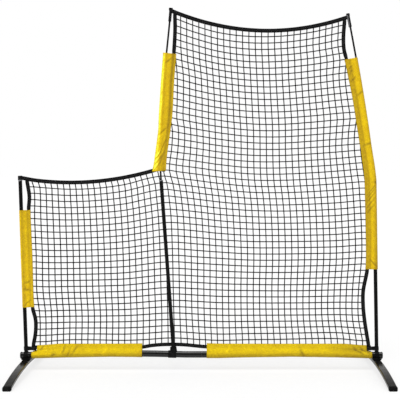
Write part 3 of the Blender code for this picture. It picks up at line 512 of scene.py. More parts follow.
def strap(name, path, replaced, seed, cut, width, sleeve):
    """A sewn strap along the path, in the plane of the net. Its ends are cut along one direction, and it
    is wider outside the heights between which its sleeve holds it."""
    section = strap_section(width / 2, web_thick)
    points, faces, backs = [], [], []
    for number, point in enumerate(path):
        run = run_at(path, number)
        side = Vector((run.z, 0, -run.x))
        if number in (0, len(path) - 1):
            slanted = cut / max(0.3, abs(cut.dot(side)))
            side = slanted if slanted.dot(side) > 0 else -slanted
        back = WAVE * noise.noise(point * 9 + Vector((seed, 0, 0)))
        if sleeve is not None:
            clear = max(sleeve[0] - point.z, point.z - sleeve[1])
            side = side * (1 + FREE_SWELL * smooth((clear + 0.002) / 0.012))
        backs.append(back)
        for across, deep in section:
            ruffle = WAVE * 0.7 * (across / (width / 2)) * noise.noise(point * 26 + Vector((seed, 5, 0)))
            points.append(point + side * across + Vector((0, deep + back + ruffle, 0)))
    ring_faces(faces, 0, len(path), len(section))
    make(name, points, faces, webbing_black, replaced)
    thread, thread_faces = [], []
    lengths = [0]
    for start, end in zip(path, path[1:]):
        lengths.append(lengths[-1] + (end - start).length)
    reach = STITCH / 2
    while reach < lengths[-1] - STITCH / 2:
        marks = []
        for place in (reach - STITCH * 0.27, reach, reach + STITCH * 0.27):
            number = max(0, min(len(path) - 2, int(np.searchsorted(lengths, place)) - 1))
            part = (place - lengths[number]) / (lengths[number + 1] - lengths[number])
            back = backs[number] * (1 - part) + backs[number + 1] * part
            marks.append(path[number].lerp(path[number + 1], part) + Vector((0, back, 0)))
        for face in (-1, 1):
            lifted = [
                mark + Vector((0, face * (web_thick * 0.46 + lift), 0))
                for mark, lift in zip(marks, (-0.0002, 0.00035, -0.0002))]
            tube_into(thread, thread_faces, lifted, 0.00055, 5)
        reach += STITCH
    make(name + "_stitches", thread, thread_faces, stitch_grey)


def spaced(function, start, end, step):
    count = max(4, round(abs(end - start) / step))
    return [function(start + (end - start) * number / count) for number in range(count + 1)]


def side_path(edge, foot, head, top):
    """Runs on past both ends, tucked behind the webbing that it is sewn to there."""
    end = head
    while end + 0.004 < top(edge(end)):
        end += 0.001

    def spot(z):
        tucked = 0.0024 * smooth((z - head + 0.006) / 0.008) + 0.0040 * smooth((foot + 0.012 - z) / 0.010)
        return Vector((edge(z), depth(edge(z), z) + tucked, z))

    return spaced(spot, foot - 0.009, end, 0.006)


def across_path(center, start, end):
    return spaced(lambda x: Vector((x, depth(x, center(x)), center(x))), start, end, 0.012)


pocket_out = rod_radius + gap + 0.001 + gap + 0.0015            # a rod pocket's outer face from its axis
low_start = left_pole(low_left + half_web) + 0.0108 + gap + 0.0015 + 2 * gap
low_end = middle_edge(corner_foot) - half_web - gap
tall_ends = (tall_left - half_web, tall_left + half_web), (tall_right - half_web, tall_right + half_web)
tall_start = max(middle_pole(height) for height in tall_ends[0]) + pocket_out + gap
tall_finish = min(right_pole(height) for height in tall_ends[1]) - pocket_out - gap


def lifted_top(across):
    return low_top(across) + 0.0025 * (1 - smooth((across - low_start) / 0.080))


left_sleeve, right_sleeve, middle_sleeve = (0.376, 0.949), (0.6016, 1.8496), (1.180, 1.877)  # their ends
upward = Vector((0, 0, 1))
level = Vector((1, 0, 0))
for seed, (label, stands_for, path, cut, width, sleeve) in enumerate((
        ("left", "left_side", side_path(left_edge, side_foot, left_end, low_top), level, web, left_sleeve),
        ("middle", "middle", side_path(middle_edge, corner_foot, middle_end, tall_top), level, web,
         (1.0, middle_sleeve[1])),
        ("right", "right_side", side_path(right_edge, side_foot, right_end, tall_top), level, web,
         right_sleeve),
        ("low", "low_top", across_path(lifted_top, low_start - 0.004, low_end), upward, 0.0232, None),
        ("tall", "tall_top", across_path(tall_top, tall_start - 0.005, tall_finish + 0.005), upward,
         0.0238, None),
        ("hem", "hem", across_path(hem_line, hem_left, hem_right), upward, 0.0213, None)), 1):
    strap(f"edge_webbing_{label}", path, (f"webbing_{stands_for}",), seed, cut, width, sleeve)


# Net: one knotted net over both halves of the L, with its cords where the real net's cords hang
ROWS_LOW, ROWS_TALL = 28, 52                # the last level cord of each half
COLUMNS = -24, 30                           # the first and the last upright cord
CORNER_COLUMN = -1                          # the first upright cord of the tall half
NET_FOOT, PITCH = 0.15, 0.037               # level cord 0, and from cord to cord, in an even net
STRAND = 0.0034                             # radius

# Height in metres, then where the numbered upright cords stand there, in millimetres from the base's middle
column_numbers = (-23, -20, -17, -14, -11, -8, -3, 0, 2, 4, 7, 11, 15, 19, 23, 26, 29)
column_table = (
    (0.177, (-952, -851, -743, -635, -526, -417, -236, -121, -46, 24, 130, 280, 429, 579, 729, 841, 951)),
    (0.325, (-954, -850, -741, -632, -524, -416, -235, -128, -56, 16, 125, 271, 419, 564, 710, 819, 925)),
    (0.478, (-973, -862, -752, -642, -532, -421, -240, -131, -59, 14, 123, 269, 415, 563, 710, 820, 927)),
    (0.685, (-976, -867, -757, -647, -536, -426, -245, -135, -61, 13, 123, 272, 420, 571, 722, 834, 946)),
    (0.903, (-985, -876, -766, -657, -546, -436, -255, -143, -70, 3, 113, 263, 413, 564, 715, 827, 942)),
    (1.033, (-985, -882, -774, -666, -557, -447, -267, -157, -85, -10, 102, 252, 401, 553, 705, 820, 934)),
    (1.104, (-994, -887, -780, -675, -564, -454, -275, -169, -96, -21, 91, 241, 391, 544, 698, 813, 929)),
    (1.187, (-1034, -924, -814, -704, -592, -477, -296, -190, -111, -34, 82, 234, 385, 538, 690, 803, 917)),
    (1.316, (-1021, -910, -800, -690, -580, -470, -285, -176, -101, -27, 84, 234, 383, 533, 683, 792, 902)),
    (1.423, (-1015, -905, -795, -685, -574, -464, -279, -171, -100, -28, 81, 232, 382, 533, 684, 797, 905)),
    (1.494, (-1027, -917, -807, -697, -587, -477, -293, -183, -109, -34, 79, 227, 378, 531, 684, 801, 916)),
    (1.588, (-1025, -915, -804, -694, -584, -474, -291, -180, -107, -33, 77, 223, 372, 524, 675, 789, 902)),
    (1.741, (-1023, -913, -803, -693, -583, -473, -289, -179, -107, -37, 68, 215, 364, 514, 665, 776, 882)),
    (1.836, (-1032, -922, -812, -702, -592, -481, -298, -186, -117, -47, 61, 209, 359, 512, 664, 780, 892)),
    (1.919, (-1040, -930, -820, -710, -600, -489, -306, -194, -122, -51, 58, 205, 355, 507, 658, 768, 880)),
    (2.048, (-1041, -931, -821, -711, -601, -491, -307, -197, -123, -52, 56, 205, 355, 510, 662, 772, 881)),
)
# Distance from the base's middle in metres, then how high the numbered level cords hang there, in millimetres
row_numbers = (1, 4, 10, 14, 18, 22, 26, 30, 34, 38, 42, 46, 48, 50)
row_table = (
    (-0.989, (172, 284, 501, 645, 789, 937, 1087, 1232, 1378, 1523, 1668, 1813, 1886, 1958)),
    (-0.918, (174, 284, 497, 640, 784, 932, 1081, 1227, 1372, 1517, 1662, 1807, 1880, 1953)),
    (-0.788, (184, 288, 499, 640, 783, 928, 1073, 1218, 1364, 1509, 1654, 1799, 1872, 1944)),
    (-0.629, (184, 289, 501, 644, 787, 933, 1078, 1226, 1371, 1516, 1662, 1807, 1880, 1952)),
    (-0.452, (181, 291, 507, 653, 801, 949, 1101, 1248, 1393, 1538, 1684, 1829, 1902, 1974)),
    (-0.304, (187, 298, 521, 671, 823, 979, 1140, 1292, 1451, 1610, 1768, 1925, 2005, 2085)),
    (-0.215, (192, 302, 528, 680, 836, 994, 1151, 1299, 1463, 1619, 1777, 1938, 2016, 2099)),
    (-0.145, (192, 303, 528, 682, 836, 990, 1139, 1291, 1449, 1605, 1764, 1916, 1996, 2077)),
    (-0.032, (187, 299, 523, 674, 827, 978, 1125, 1276, 1428, 1580, 1733, 1884, 1960, 2035)),
    (0.109, (181, 292, 515, 665, 812, 961, 1107, 1255, 1405, 1553, 1702, 1849, 1922, 1996)),
    (0.286, (185, 293, 511, 655, 801, 948, 1091, 1237, 1385, 1533, 1680, 1826, 1900, 1975)),
    (0.463, (187, 294, 509, 654, 800, 944, 1089, 1235, 1382, 1530, 1678, 1827, 1902, 1976)),
    (0.640, (191, 295, 511, 657, 802, 948, 1095, 1244, 1393, 1542, 1695, 1845, 1922, 1998)),
    (0.806, (191, 296, 516, 660, 807, 956, 1106, 1255, 1407, 1559, 1716, 1872, 1953, 2035)),
    (0.936, (179, 291, 520, 669, 819, 969, 1117, 1267, 1417, 1568, 1732, 1895, 1984, 2066)),
)


def numbered(numbers, values, number):
    """Value for any cord's number, evenly between the numbered ones and a little past either end."""
    place = min(max(int(np.searchsorted(numbers, number)), 1), len(numbers) - 1)
    low, high = numbers[place - 1], numbers[place]
    part = (number - low) / (high - low)
    return (values[place - 1] * (1 - part) + values[place] * part) / 1000


def cord_lines(table, numbers, first, last):
    return {
        number: [(place, numbered(numbers, values, number)) for place, values in table]
        for number in range(first, last + 1)}


column_lines = cord_lines(column_table, column_numbers, *COLUMNS)
row_lines = cord_lines(row_table, row_numbers, -1, ROWS_TALL)
crossings = {}


def crossing(column, row):
    """Where a column and a row cross, sought from their crossing in an even net."""
    if (column, row) not in crossings:
        height = NET_FOOT + PITCH * row
        for _ in range(7):
            across = table_value(column_lines[column], height)
            height = table_value(row_lines[row], across)
        crossings[column, row] = Vector((across, depth(across, height), height))
    return crossings[column, row]


corner_x = middle_edge(corner_foot)
tuck = half_web * 0.88


def in_net(point):
    """Whether a point is inside the webbing, or just under its edge."""
    across, height = point.x, point.z
    if height < hem_line(min(max(across, hem_left), hem_right)) + tuck:
        return False
    if across > right_edge(min(height, right_end)) - tuck:
        return False
    if height > corner_foot:
        return (
            across > middle_edge(min(height, middle_end)) + tuck
            and height < lower_edge(tall_top, across) + half_web - tuck)
    return across > left_edge(max(height, side_foot)) + tuck and (
        across > corner_x - half_web or height < lower_edge(low_top, across) + half_web - tuck)


def edge_point(outer, inner):
    low, high = 0.0, 1.0
    for _ in range(12):
        middle = (low + high) / 2
        if in_net(outer.lerp(inner, middle)):
            high = middle
        else:
            low = middle
    return outer.lerp(inner, high)


def cord_runs(line):
    """The stretches of a line of points inside the net's edges, each ending on the edge."""
    runs, run = [], []
    for number, point in enumerate(line):
        now = in_net(point)
        if now and not run and number:
            run.append(edge_point(line[number - 1], point))
        if now:
            run.append(point)
        elif run:
            runs.append(run + [edge_point(point, run[-1])])
            run = []
    return runs + [run] if run else runs


def waved(run):
    """The points of a run that aren't too close together, each a little out of line."""
    clean = [run[0]]
    for point in run[1:]:
        if (point - clean[-1]).length > 0.0012:
            clean.append(point)
    for number, point in enumerate(clean[1:-1], 1):
        shake = Vector((noise.noise(point * 55), 0, noise.noise(point * 55 + Vector((9, 0, 0)))))
        clean[number] = point + shake * 0.0006
    return clean


def knot_into(points, faces, point):
    first = len(points)
    size = STRAND * 1.45
    turn = noise.noise(point * 90) * 0.5
    for back, radius in ((-1, 0.35), (-0.45, 0.95), (0.45, 0.95), (1, 0.35)):
        for step in range(6):
            angle = math.pi * step / 3 + turn
            points.append(point + Vector((
                size * radius * math.cos(angle), size * back * 0.75, size * radius * math.sin(angle))))
    for ring in range(3):
        for step in range(6):
            after = (step + 1) % 6
            here, there = first + ring * 6, first + (ring + 1) * 6
            faces.append((here + step, there + step, there + after, here + after))
    faces.append(tuple(range(first, first + 6)))
    faces.append(tuple(range(first + 23, first + 17, -1)))


def halved(nodes):
    line = [nodes[0]]
    for point in nodes[1:]:
        line += [(line[-1] + point) / 2, point]
    return line


net_lines = [
    [crossing(column, row) for row in range(-1, (ROWS_TALL if column >= CORNER_COLUMN else ROWS_LOW) + 1)]
    for column in range(COLUMNS[0], COLUMNS[1] + 1)]
net_lines += [
    [crossing(column, row)
     for column in range(COLUMNS[0] if row <= ROWS_LOW else CORNER_COLUMN - 2, COLUMNS[1] + 1)]
    for row in range(-1, ROWS_TALL + 1)]
net_points, net_faces = [], []
for line in net_lines:
    for run in cord_runs(halved(line)):
        cord = waved(run)
        if len(cord) > 1:
            tube_into(net_points, net_faces, cord, STRAND, 6)
for (column, row), point in crossings.items():
    if in_net(point) and (column >= CORNER_COLUMN - 1 or row <= ROWS_LOW - 2):
        knot_into(net_points, net_faces, point)
make("net_mesh", net_points, net_faces, cord_black, ("net_low", "net_tall"), smooth_angle=60)


# Sleeves: a sewn tube of cloth over each pole and the webbing beside it, creased where it is drawn in
CLOTH = 0.0009                  # thickness
SPACING = 0.0058                # of the stations along a sleeve
AROUND = 64                     # faces round a sleeve
SLIT = 0.0020                   # half the gap between the cloth's two lips
HEM = 0.009                     # width of the hem at either end
ROUND = 0.003                   # radius of the cloth's turn round the webbing
FINE = 0.0005                   # height of the finest wrinkles


def outline_of(far, pole_size, near, near_size, near_back):
    """Taut outline over round forms at the pole and the webbing, as (towards the net, backwards) points
    from one lip of the slit on the net's side round to the other, and the way all round."""
    forms = [(near, near_back, near_size), (0.0, 0.0, pole_size)]
    if far > 0.0005:
        forms.append((-far, 0.0, pole_size))
    points = []
    for step in range(AROUND * 3 + 1):
        angle = math.pi * 2 * step / (AROUND * 3)
        way = (math.cos(angle), math.sin(angle))
        place, back, size = max(forms, key=lambda form: form[0] * way[0] + form[1] * way[1] + form[2])
        points.append((place + size * way[0], back + size * way[1]))
    lengths = [0.0]
    for (a, b), (c, d) in zip(points, points[1:]):
        lengths.append(lengths[-1] + math.hypot(c - a, d - b))
    places = np.linspace(SLIT, lengths[-1] - SLIT, AROUND + 1)
    even = [np.interp(places, lengths, values) for values in np.array(points).T]
    return np.stack(even, 1).tolist(), lengths[-1]


def noise_at(a, b, c):
    return noise.noise(Vector((a, b, c)))


def cloth_sleeve(name, replaced, stations, shape_of, tone_and_light_of, step_end=None, slot=None, lemon=1.0):
    """Stations are (origin, direction to the net, outline sizes). shape_of gives how far the cloth stands
    off its taut outline, and the next argument the cloth's tone with painted shade and painted highlights,
    from the walk along the sleeve, the share from the pole's edge to the net, and the side: 1 at the front.
    step_end moves the cloth along the sleeve, slot says which faces are left out, and lemon is how much green
    the yellow has."""
    points, colors, faces = [], [], []
    walked, around = 0.0, 0.0
    length = sum((b[0] - a[0]).length for a, b in zip(stations, stations[1:]))
    for number, (origin, towards, sizes) in enumerate(stations):
        if number:
            walked += (origin - stations[number - 1][0]).length
        outline, total = outline_of(*sizes)
        around = max(around, total)
        far, pole_size, near, near_size = sizes[:4]
        ahead = Vector((0, 1, 0)).cross(towards)
        hem = math.exp(-(min(walked, length - walked) / HEM) ** 4)
        for step, (reach, back) in enumerate(outline):
            out = outward_at(outline, step)
            side = 1 if step > AROUND / 2 else -1
            share = (reach + far + pole_size) / (far + pole_size + near + near_size)
            lift = shape_of(walked, share, side) + 0.0006 * hem
            if reach < pole_size * 0.75 and (far < 0.001 or reach < -far or reach > -pole_size):
                lift = max(lift, 0.0)
            lift *= (0.25 + 0.75 * smooth((1 - share) / 0.12)) * (0.35 + 0.65 * smooth(share / 0.16))
            spot = origin + towards * (reach + out.x * lift) + Vector((0, 1, 0)) * (back + out.y * lift)
            if step_end is not None:
                spot += ahead * step_end(walked, reach)
            points.append(spot)
            # Painted shade and highlight: a tone under 1 darkens the yellow and adds blue to it, as the cloth
            # looks in shade, and a tone over 1 turns it lemon as a painted highlight. The hems are drawn 10%
            # darker.
            shade = tone_and_light_of(walked, share, side) * (1 - 0.10 * hem)
            painted_highlight, dull = max(shade - 1, 0), min(shade, 1)
            colors.append((shade, lemon * dull ** 1.05 + 4.6 * painted_highlight, 1 + 1.5 * (1 - dull) + 70 * painted_highlight, 1))
    for number in range(len(stations) - 1):
        for step in range(AROUND):
            here = number * (AROUND + 1) + step
            face = (here, here + 1, here + AROUND + 2, here + AROUND + 1)
            if slot is None or not slot(points[face[0]], points[face[2]]):
                faces.append(face)
    made = make(name, points, faces, yellow, replaced, colors, 80)
    face_outward(made.data)
    thicken(made, CLOTH, 0)
    thread, thread_faces = [], []

    def at(number, step):
        return points[min(max(number, 0), len(stations) - 1) * (AROUND + 1) + min(max(step, 0), AROUND)]

    def outward(number, step):
        here = at(number, step)
        ahead = at(number + 1, step) - at(number - 1, step)
        aside = at(number, step + 1) - at(number, step - 1)
        normal = ahead.cross(aside).normalized()
        away = normal.dot(here - stations[number][0]) > 0 or abs(normal.y) > 0.5 and normal.y * here.y > 0
        return here, normal if away else -normal

    def sew(line):
        for (first, out), (second, next_out) in zip(line, line[1:]):
            lift = (out + next_out) * 0.00022 + (out + next_out) * CLOTH * 0.25
            stitch = [
                first.lerp(second, 0.18) + out * CLOTH * 0.45, (first + second) / 2 + lift,
                first.lerp(second, 0.82) + next_out * CLOTH * 0.45]
            tube_into(thread, thread_faces, stitch, 0.00042, 4)

    for number in (2, len(stations) - 3):
        sew([outward(number, step) for step in range(2, AROUND - 1)])
    for step in (3, AROUND - 3):
        sew([outward(number, step) for number in range(2, len(stations) - 2)])
    seams = make(
        name + "_seams", thread, thread_faces, thread_yellow,
        tones=[(0.9, 0.9, 1, 1)] * len(thread))


def drawn(*creases):
    """Creases as (walk, share, lean, span, width, height), given in millimetres and hundredths of the
    sleeve's width, and the height in tenths of a millimetre."""
    units = 1000, 100, 1000, 100, 1000, 10000
    return [[value / unit for value, unit in zip(crease, units)] for crease in creases]


def marks_at(creases, seed, walked, share):
    """The height of each drawn crease, and how strongly it shows at a point of the cloth."""
    for at, middle, lean, span, width, high in creases:
        off = walked - at - lean * (share - middle) + 0.004 * noise_at(share * 7, seed, at * 9)
        yield high, math.exp(-(off / width) ** 2 - ((share - middle) / span) ** 2)


def creased(seed, ridge, creases, grooves):
    """Cloth that stands off in long slanting waves, with drawn creases at the front and lengthwise
    grooves (share, width, depth)."""
    def shape(walked, share, side):
        around = share * 2.2 * side
        broad = noise_at(around * 1.7, walked * 3.1, seed)
        drawn = noise_at(around * 2.8 + walked * 8, walked * 6.5, seed + 3.3)
        small = noise_at(around * 8, walked * 38, seed + 9.1)
        lift = ridge * (0.55 + broad + 0.7 * drawn) + FINE * small
        for place, width, deep in grooves:
            drift = 0.05 * noise_at(walked * 7, seed, place * 9)
            lift -= deep * math.exp(-((share - place - drift) / width) ** 2)
        if side > 0:
            for high, mark in marks_at(creases, seed, walked, share):
                lift += high * mark
        return lift
    return shape


def tone_with_painted_light(seed, begin, length, low_tone_and_light, high_tone_and_light, creases, knot_darkening=0.0):
    """Tone of the cloth across its width, in hundredths, at the sleeve's start and at its far end: the
    cloth's own tone together with painted shade and painted highlights. Painted shade darkens the hollows of
    the drawn creases and a painted highlight lightens their ridges. The last argument is how much darker the
    cloth is drawn in a spot at each of the net's knots, along a line above the webbing."""
    low_tone_and_light, high_tone_and_light = (
        [(share / 100, shade / 100) for share, shade in bands] for bands in (low_tone_and_light, high_tone_and_light))

    def tone(walked, share, side):
        drift = min(max(share + 0.03 * noise_at(walked * 7, seed, 2.0), 0.0), 0.9999)
        blend = smooth((walked - begin) / length)
        value = straight_value(low_tone_and_light, drift) * (1 - blend) + straight_value(high_tone_and_light, drift) * blend
        knot = max(0.0, math.sin(2 * math.pi * walked / 0.033 + 2 * noise_at(walked * 20, seed, 6.0)))
        off = (share - 0.78 - 0.05 * noise_at(walked * 12, seed, 8.0)) / 0.07
        value *= 1 - knot_darkening * knot * math.exp(-off ** 2)
        value *= 1 - 0.20 * max(0.0, noise_at(walked * 70, share * 14 * side, seed) + 0.15)
        value *= 1 + 0.05 * noise_at(walked * 9, share * 3 * side, seed + 4)
        # painted shade in the hollows of the drawn creases, painted highlight on their ridges
        if side > 0:
            for high, mark in marks_at(creases, seed, walked, share):
                value *= 1 + (0.15 if high > 0 else -0.50) * mark
        return value
    return tone


def walk(start, end, station):
    """Even stations along a sleeve, each from its place and its share of the length."""
    length = end - start
    count = round(length / SPACING)
    return [station(start + length * step / count, step / count) for step in range(count + 1)]


def slope_of(pole, height):
    return (pole(height + 0.003) - pole(height - 0.003)) / 0.006


def pole_stations(pole, edge, radius, ends, side):
    def station(height, _):
        reach = abs(edge(height) - pole(height)) + half_web - ROUND + gap
        sizes = (0, radius(height) + gap + CLOTH, reach, ROUND + CLOTH, depth(edge(height), height))
        towards = Vector((side, 0, -side * slope_of(pole, height))).normalized()
        return Vector((pole(height), 0, height)), towards, sizes
    return walk(*ends, station)


left_creases = drawn(
    (27, 45, 68, 30, 5, -16), (40, 50, 60, 34, 6, 14), (15, 55, 60, 30, 5, 12), (85, 45, -10, 30, 6, 12),
    (105, 50, -20, 34, 5, -8), (150, 55, 14, 25, 6, -7), (455, 35, -20, 30, 7, 10))
cloth_sleeve(
    "left_sleeve_cloth", ("sleeve_left",),
    pole_stations(left_pole, left_edge, lambda height: upright_radius, left_sleeve, 1),
    creased(1.7, 0.0012, left_creases, ((0.64, 0.09, 0.0026),)),
    tone_with_painted_light(1.7, 0, left_sleeve[1] - left_sleeve[0], (
        (0, 100), (8, 102), (14, 70), (23, 66), (31, 76), (40, 84), (49, 92), (58, 93), (66, 76),
        (75, 69), (84, 82), (92, 76), (100, 76)), (
        (0, 100), (8, 101), (16, 69), (25, 63), (33, 69), (42, 80), (50, 85), (59, 82), (67.5, 60),
        (76, 65), (85, 77), (93, 72), (100, 72)),
        left_creases, knot_darkening=0.10))

right_creases = drawn(
    (1045, 30, -45, 30, 7, -20), (1100, 45, -50, 30, 10, 18), (1135, 62, -50, 20, 6, -16),
    (1205, 66, -60, 16, 5, -14), (1222, 62, -60, 18, 5, 12), (1180, 70, -60, 16, 5, -14),
    (742, 30, -18, 34, 6, -22), (757, 32, -18, 30, 6, 16), (515, 10, 0, 12, 10, -30),
    (500, 24, -20, 24, 7, 24), (474, 40, -92, 34, 5, -18), (462, 44, -92, 34, 5, 16),
    (450, 48, -92, 34, 5, -18), (438, 50, -92, 34, 5, 16), (425, 50, -92, 32, 5, -16),
    (410, 52, -90, 30, 6, 12), (392, 52, -85, 30, 6, -12), (360, 52, -80, 28, 7, -8),
    (34, 35, 70, 30, 6, -16), (52, 40, 70, 30, 6, 14))
cloth_sleeve(
    "right_sleeve_cloth", ("sleeve_right",),
    pole_stations(
        right_pole, right_edge,
        lambda height: collar_radius - (collar_radius - rod_radius - 0.0012) * smooth((height - 1.16) / 0.20),
        right_sleeve, -1),
    creased(5.2, 0.0012, right_creases, ((0.66, 0.06, 0.0032),)),
    tone_with_painted_light(5.2, 0, 1.0, (
        (0, 72), (4, 62), (10, 46), (17, 58), (25, 72), (34, 86), (42, 93), (51, 93), (59, 70),
        (68, 64.5), (76, 69), (85, 60), (100, 66)), (
        (0, 66), (6, 58), (14, 81), (22, 88), (30, 94), (38, 91), (46, 92), (54, 79), (62, 62), (70, 62),
        (78, 68), (86, 64), (100, 70)),
        right_creases, knot_darkening=0.16))

middle_creases = drawn(
    (240, 42, 73, 26, 6, -32), (224, 44, 80, 26, 6, 28), (152, 58, 210, 22, 7, -32),
    (134, 42, 220, 22, 7, 28), (85, 60, 180, 15, 18, -20), (106, 27, 114, 22, 5, 22),
    (94, 30, 114, 20, 4, -18), (80, 32, 114, 22, 5, 20), (66, 34, 110, 20, 4, -16),
    (52, 36, 110, 24, 5, 18), (38, 40, 110, 22, 4, -14), (655, 44, 60, 22, 6, -12),
    (672, 48, 60, 20, 5, 12))


def middle_station(height, share):
    """The cloth reaches past the rod on the side away from the net, and round the low webbing's end."""
    edge_height = max(height, corner_foot)
    reach = middle_edge(edge_height) - middle_pole(edge_height) + half_web + 0.0015
    behind = depth(middle_edge(edge_height), edge_height)
    lobe = max(rod_radius, behind + web_thick) + gap
    far = max(web * table_value(middle_lobe_shares, share) - lobe - 0.0015, 0)
    towards = Vector((1, 0, -slope_of(middle_pole, height))).normalized()
    return Vector((middle_pole(height), 0, height)), towards, (
        far, lobe + CLOTH, reach, ROUND + CLOTH, behind)


slot_top = low_top(middle_pole(low_corner)) + half_web + 0.0012
slot_back = depth(middle_pole(low_corner) - 0.04, low_corner)


def in_slot(a, b):
    """Whether a face between two points lies where the low webbing goes into the middle sleeve."""
    return (
        max(a.z, b.z) < slot_top and min(a.x, b.x) < middle_pole(middle_sleeve[0]) - 0.030
        and abs((a.y + b.y) / 2 - slot_back) < 0.0045)


cloth_sleeve(
    "middle_sleeve_cloth", ("sleeve_middle",), walk(*middle_sleeve, middle_station),
    creased(8.9, 0.0014, middle_creases, ((0.75, 0.07, 0.0024), (0.28, 0.05, 0.0012))),
    tone_with_painted_light(8.9, 0, 0.40, (
        (0, 110), (18, 116), (27, 113), (34, 98), (42, 70), (50, 66), (57, 82), (65, 80), (73, 62),
        (81, 60), (89, 66), (100, 80)), (
        (0, 116), (12, 118), (18, 106), (24, 72), (33, 71), (41, 83), (49, 85), (58, 82), (65, 72),
        (72, 48), (80, 44), (88, 58), (100, 80)),
        middle_creases, knot_darkening=0.10),
    slot=in_slot)

END_STEP = 0.150                # over this length the low sleeves change towards their outer ends
LOBE = 0.031                    # how much further out the part of a low sleeve on the tube reaches


def base_sleeve(label, start, end, turn, seed, creases, ends):
    """A sleeve on the base, drawn down to the strap at its outer end, where it ends in two steps."""
    def station(across, _):
        from_outer = across - start if turn > 0 else end - across
        slack = 0.0075 - 0.0090 * (1 - smooth(from_outer / END_STEP))
        reach = hem_line(across) - base_line(across) + half_web + slack
        sizes = (0, base_radius + 3 * gap + CLOTH, reach, ROUND + CLOTH, depth(across, hem_line(across)))
        return Vector((across, 0, base_line(across))), upward, sizes

    def step_end(walked, reach):
        from_end = walked if turn > 0 else end - start - walked
        return -turn * LOBE * (1 - smooth((reach - 0.0185) / 0.005)) * (1 - smooth(from_end / END_STEP))

    cloth_sleeve(
        f"base_{label}_sleeve_cloth", (f"sleeve_low_{label}",), walk(start, end, station),
        creased(seed, 0.0011, creases, ((0.70, 0.07, 0.0014),)), tone_with_painted_light(seed, *ends, creases),
        step_end=step_end, lemon=1.06)


base_right_start, base_right_end = 0.031, hem_right - 0.0270
base_left_creases = drawn(
    (104, 28, 20, 12, 10, -24), (88, 30, 20, 14, 7, 16), (148, 60, 40, 40, 7, 22),
    (159, 65, 20, 35, 5, -20), (199, 60, 55, 40, 7, 22), (188, 40, 40, 30, 5, -20),
    (225, 60, 50, 30, 6, -12), (50, 75, -50, 25, 7, 14), (30, 80, 50, 20, 6, -10),
    (400, 45, 30, 30, 9, 10))
base_right_creases = drawn(
    (120, 55, 40, 30, 8, 10), (560, 35, -30, 30, 9, -10), (880, 55, -50, 30, 8, -18),
    (900, 50, -50, 30, 8, 16), (918, 60, -50, 30, 7, -14))
# Tone across the base sleeves in hundredths, the cloth's own tone with painted shade and painted highlights:
# along most of a sleeve, and at its outer end
base_tone_and_light_bands = (
    (0, 52), (7, 51), (14, 58), (25, 60), (31, 72), (37, 84), (45, 87), (55, 92), (66, 86), (75, 82),
    (88, 81), (100, 80))
left_end_tone_and_light_bands = (
    (0, 56), (12, 60), (24, 76), (30, 98), (44, 96), (54, 102), (60, 100), (66, 70), (73, 86), (82, 90),
    (90, 80), (100, 78))
right_end_tone_and_light_bands = (
    (0, 46), (12, 50), (24, 58), (32, 70), (42, 74), (52, 64), (60, 56), (66, 44), (74, 62), (84, 64),
    (100, 66))
base_sleeve(
    "left", hem_left + 0.0310, -0.350, 1, 12.3, base_left_creases, (0.0, 0.160, left_end_tone_and_light_bands, base_tone_and_light_bands))
base_sleeve(
    "right", base_right_start, base_right_end, -1, 15.8, base_right_creases,
    (base_right_end - base_right_start - 0.300, 0.260, base_tone_and_light_bands, right_end_tone_and_light_bands))


# Corner pockets: folded webbing sewn over the heads of the rods and the left upright
POCKET_SIDES = 28
SQUARE = 0.82                   # 1 is an ellipse, less is squarer


def pocket(name, replaced, path, sizes, seed, fold=()):
    """Rings along the path, each (half width, half depth, squareness). fold names the faces of each ring
    that are under a fold of the cloth, pushed out a little and drawn light grey as a painted highlight."""
    points, faces = [], []
    for number, (middle, (wide, deep, square)) in enumerate(zip(path, sizes)):
        across = Vector((0, 1, 0)).cross(run_at(path, number)).normalized()
        for step in range(POCKET_SIDES):
            angle = 2 * math.pi * step / POCKET_SIDES
            c, s = math.cos(angle), math.sin(angle)
            swell = 1 + 0.05 * noise_at(c * 1.5 + seed, s * 1.5, number * 0.35) + 0.07 * (step in fold)
            reach = math.copysign(abs(c) ** square, c) * wide * swell
            back = math.copysign(abs(s) ** square, s) * deep * swell
            points.append(middle + across * reach + Vector((0, 1, 0)) * back)
    ring_faces(faces, 0, len(path), POCKET_SIDES, foot=False)
    made = make(name, points, faces, pocket_black, replaced, smooth_angle=50)
    if fold:
        # painted highlight on the fold
        made.data.materials.append(pocket_painted_highlight)
        for number in range(len(path) - 4):
            for step in fold:
                made.data.polygons[number * POCKET_SIDES + step].material_index = 1
    thicken(made, 0.0011, -1)
    thread, thread_faces = [], []
    for number in (2, 5, len(path) - 6):
        for step in range(0, POCKET_SIDES, 2):
            first = points[number * POCKET_SIDES + step]
            second = points[number * POCKET_SIDES + step + 1]
            out = (first - path[number]).normalized() * 0.0003
            stitch = [first + out, (first + second) / 2 + out * 2, second + out]
            tube_into(thread, thread_faces, stitch, 0.00045, 4)
    make(name + "_stitches", thread, thread_faces, stitch_grey)


def head_size(share, head_wide):
    """Size of a rod's pocket at a share of its height: straight, with a wider and flatter head."""
    head = smooth((share - 0.74) / 0.26 * 1.6)
    hem = 0.0006 * math.exp(-((share - 0.03) / 0.05) ** 2)
    closing = smooth((share - 0.93) / 0.07)
    wide = 0.0086 + (head_wide - 0.0086) * head + hem - closing * 0.0016
    return wide, (0.0084 + hem) * (1 - 0.25 * head) * (1 - 0.6 * closing), SQUARE


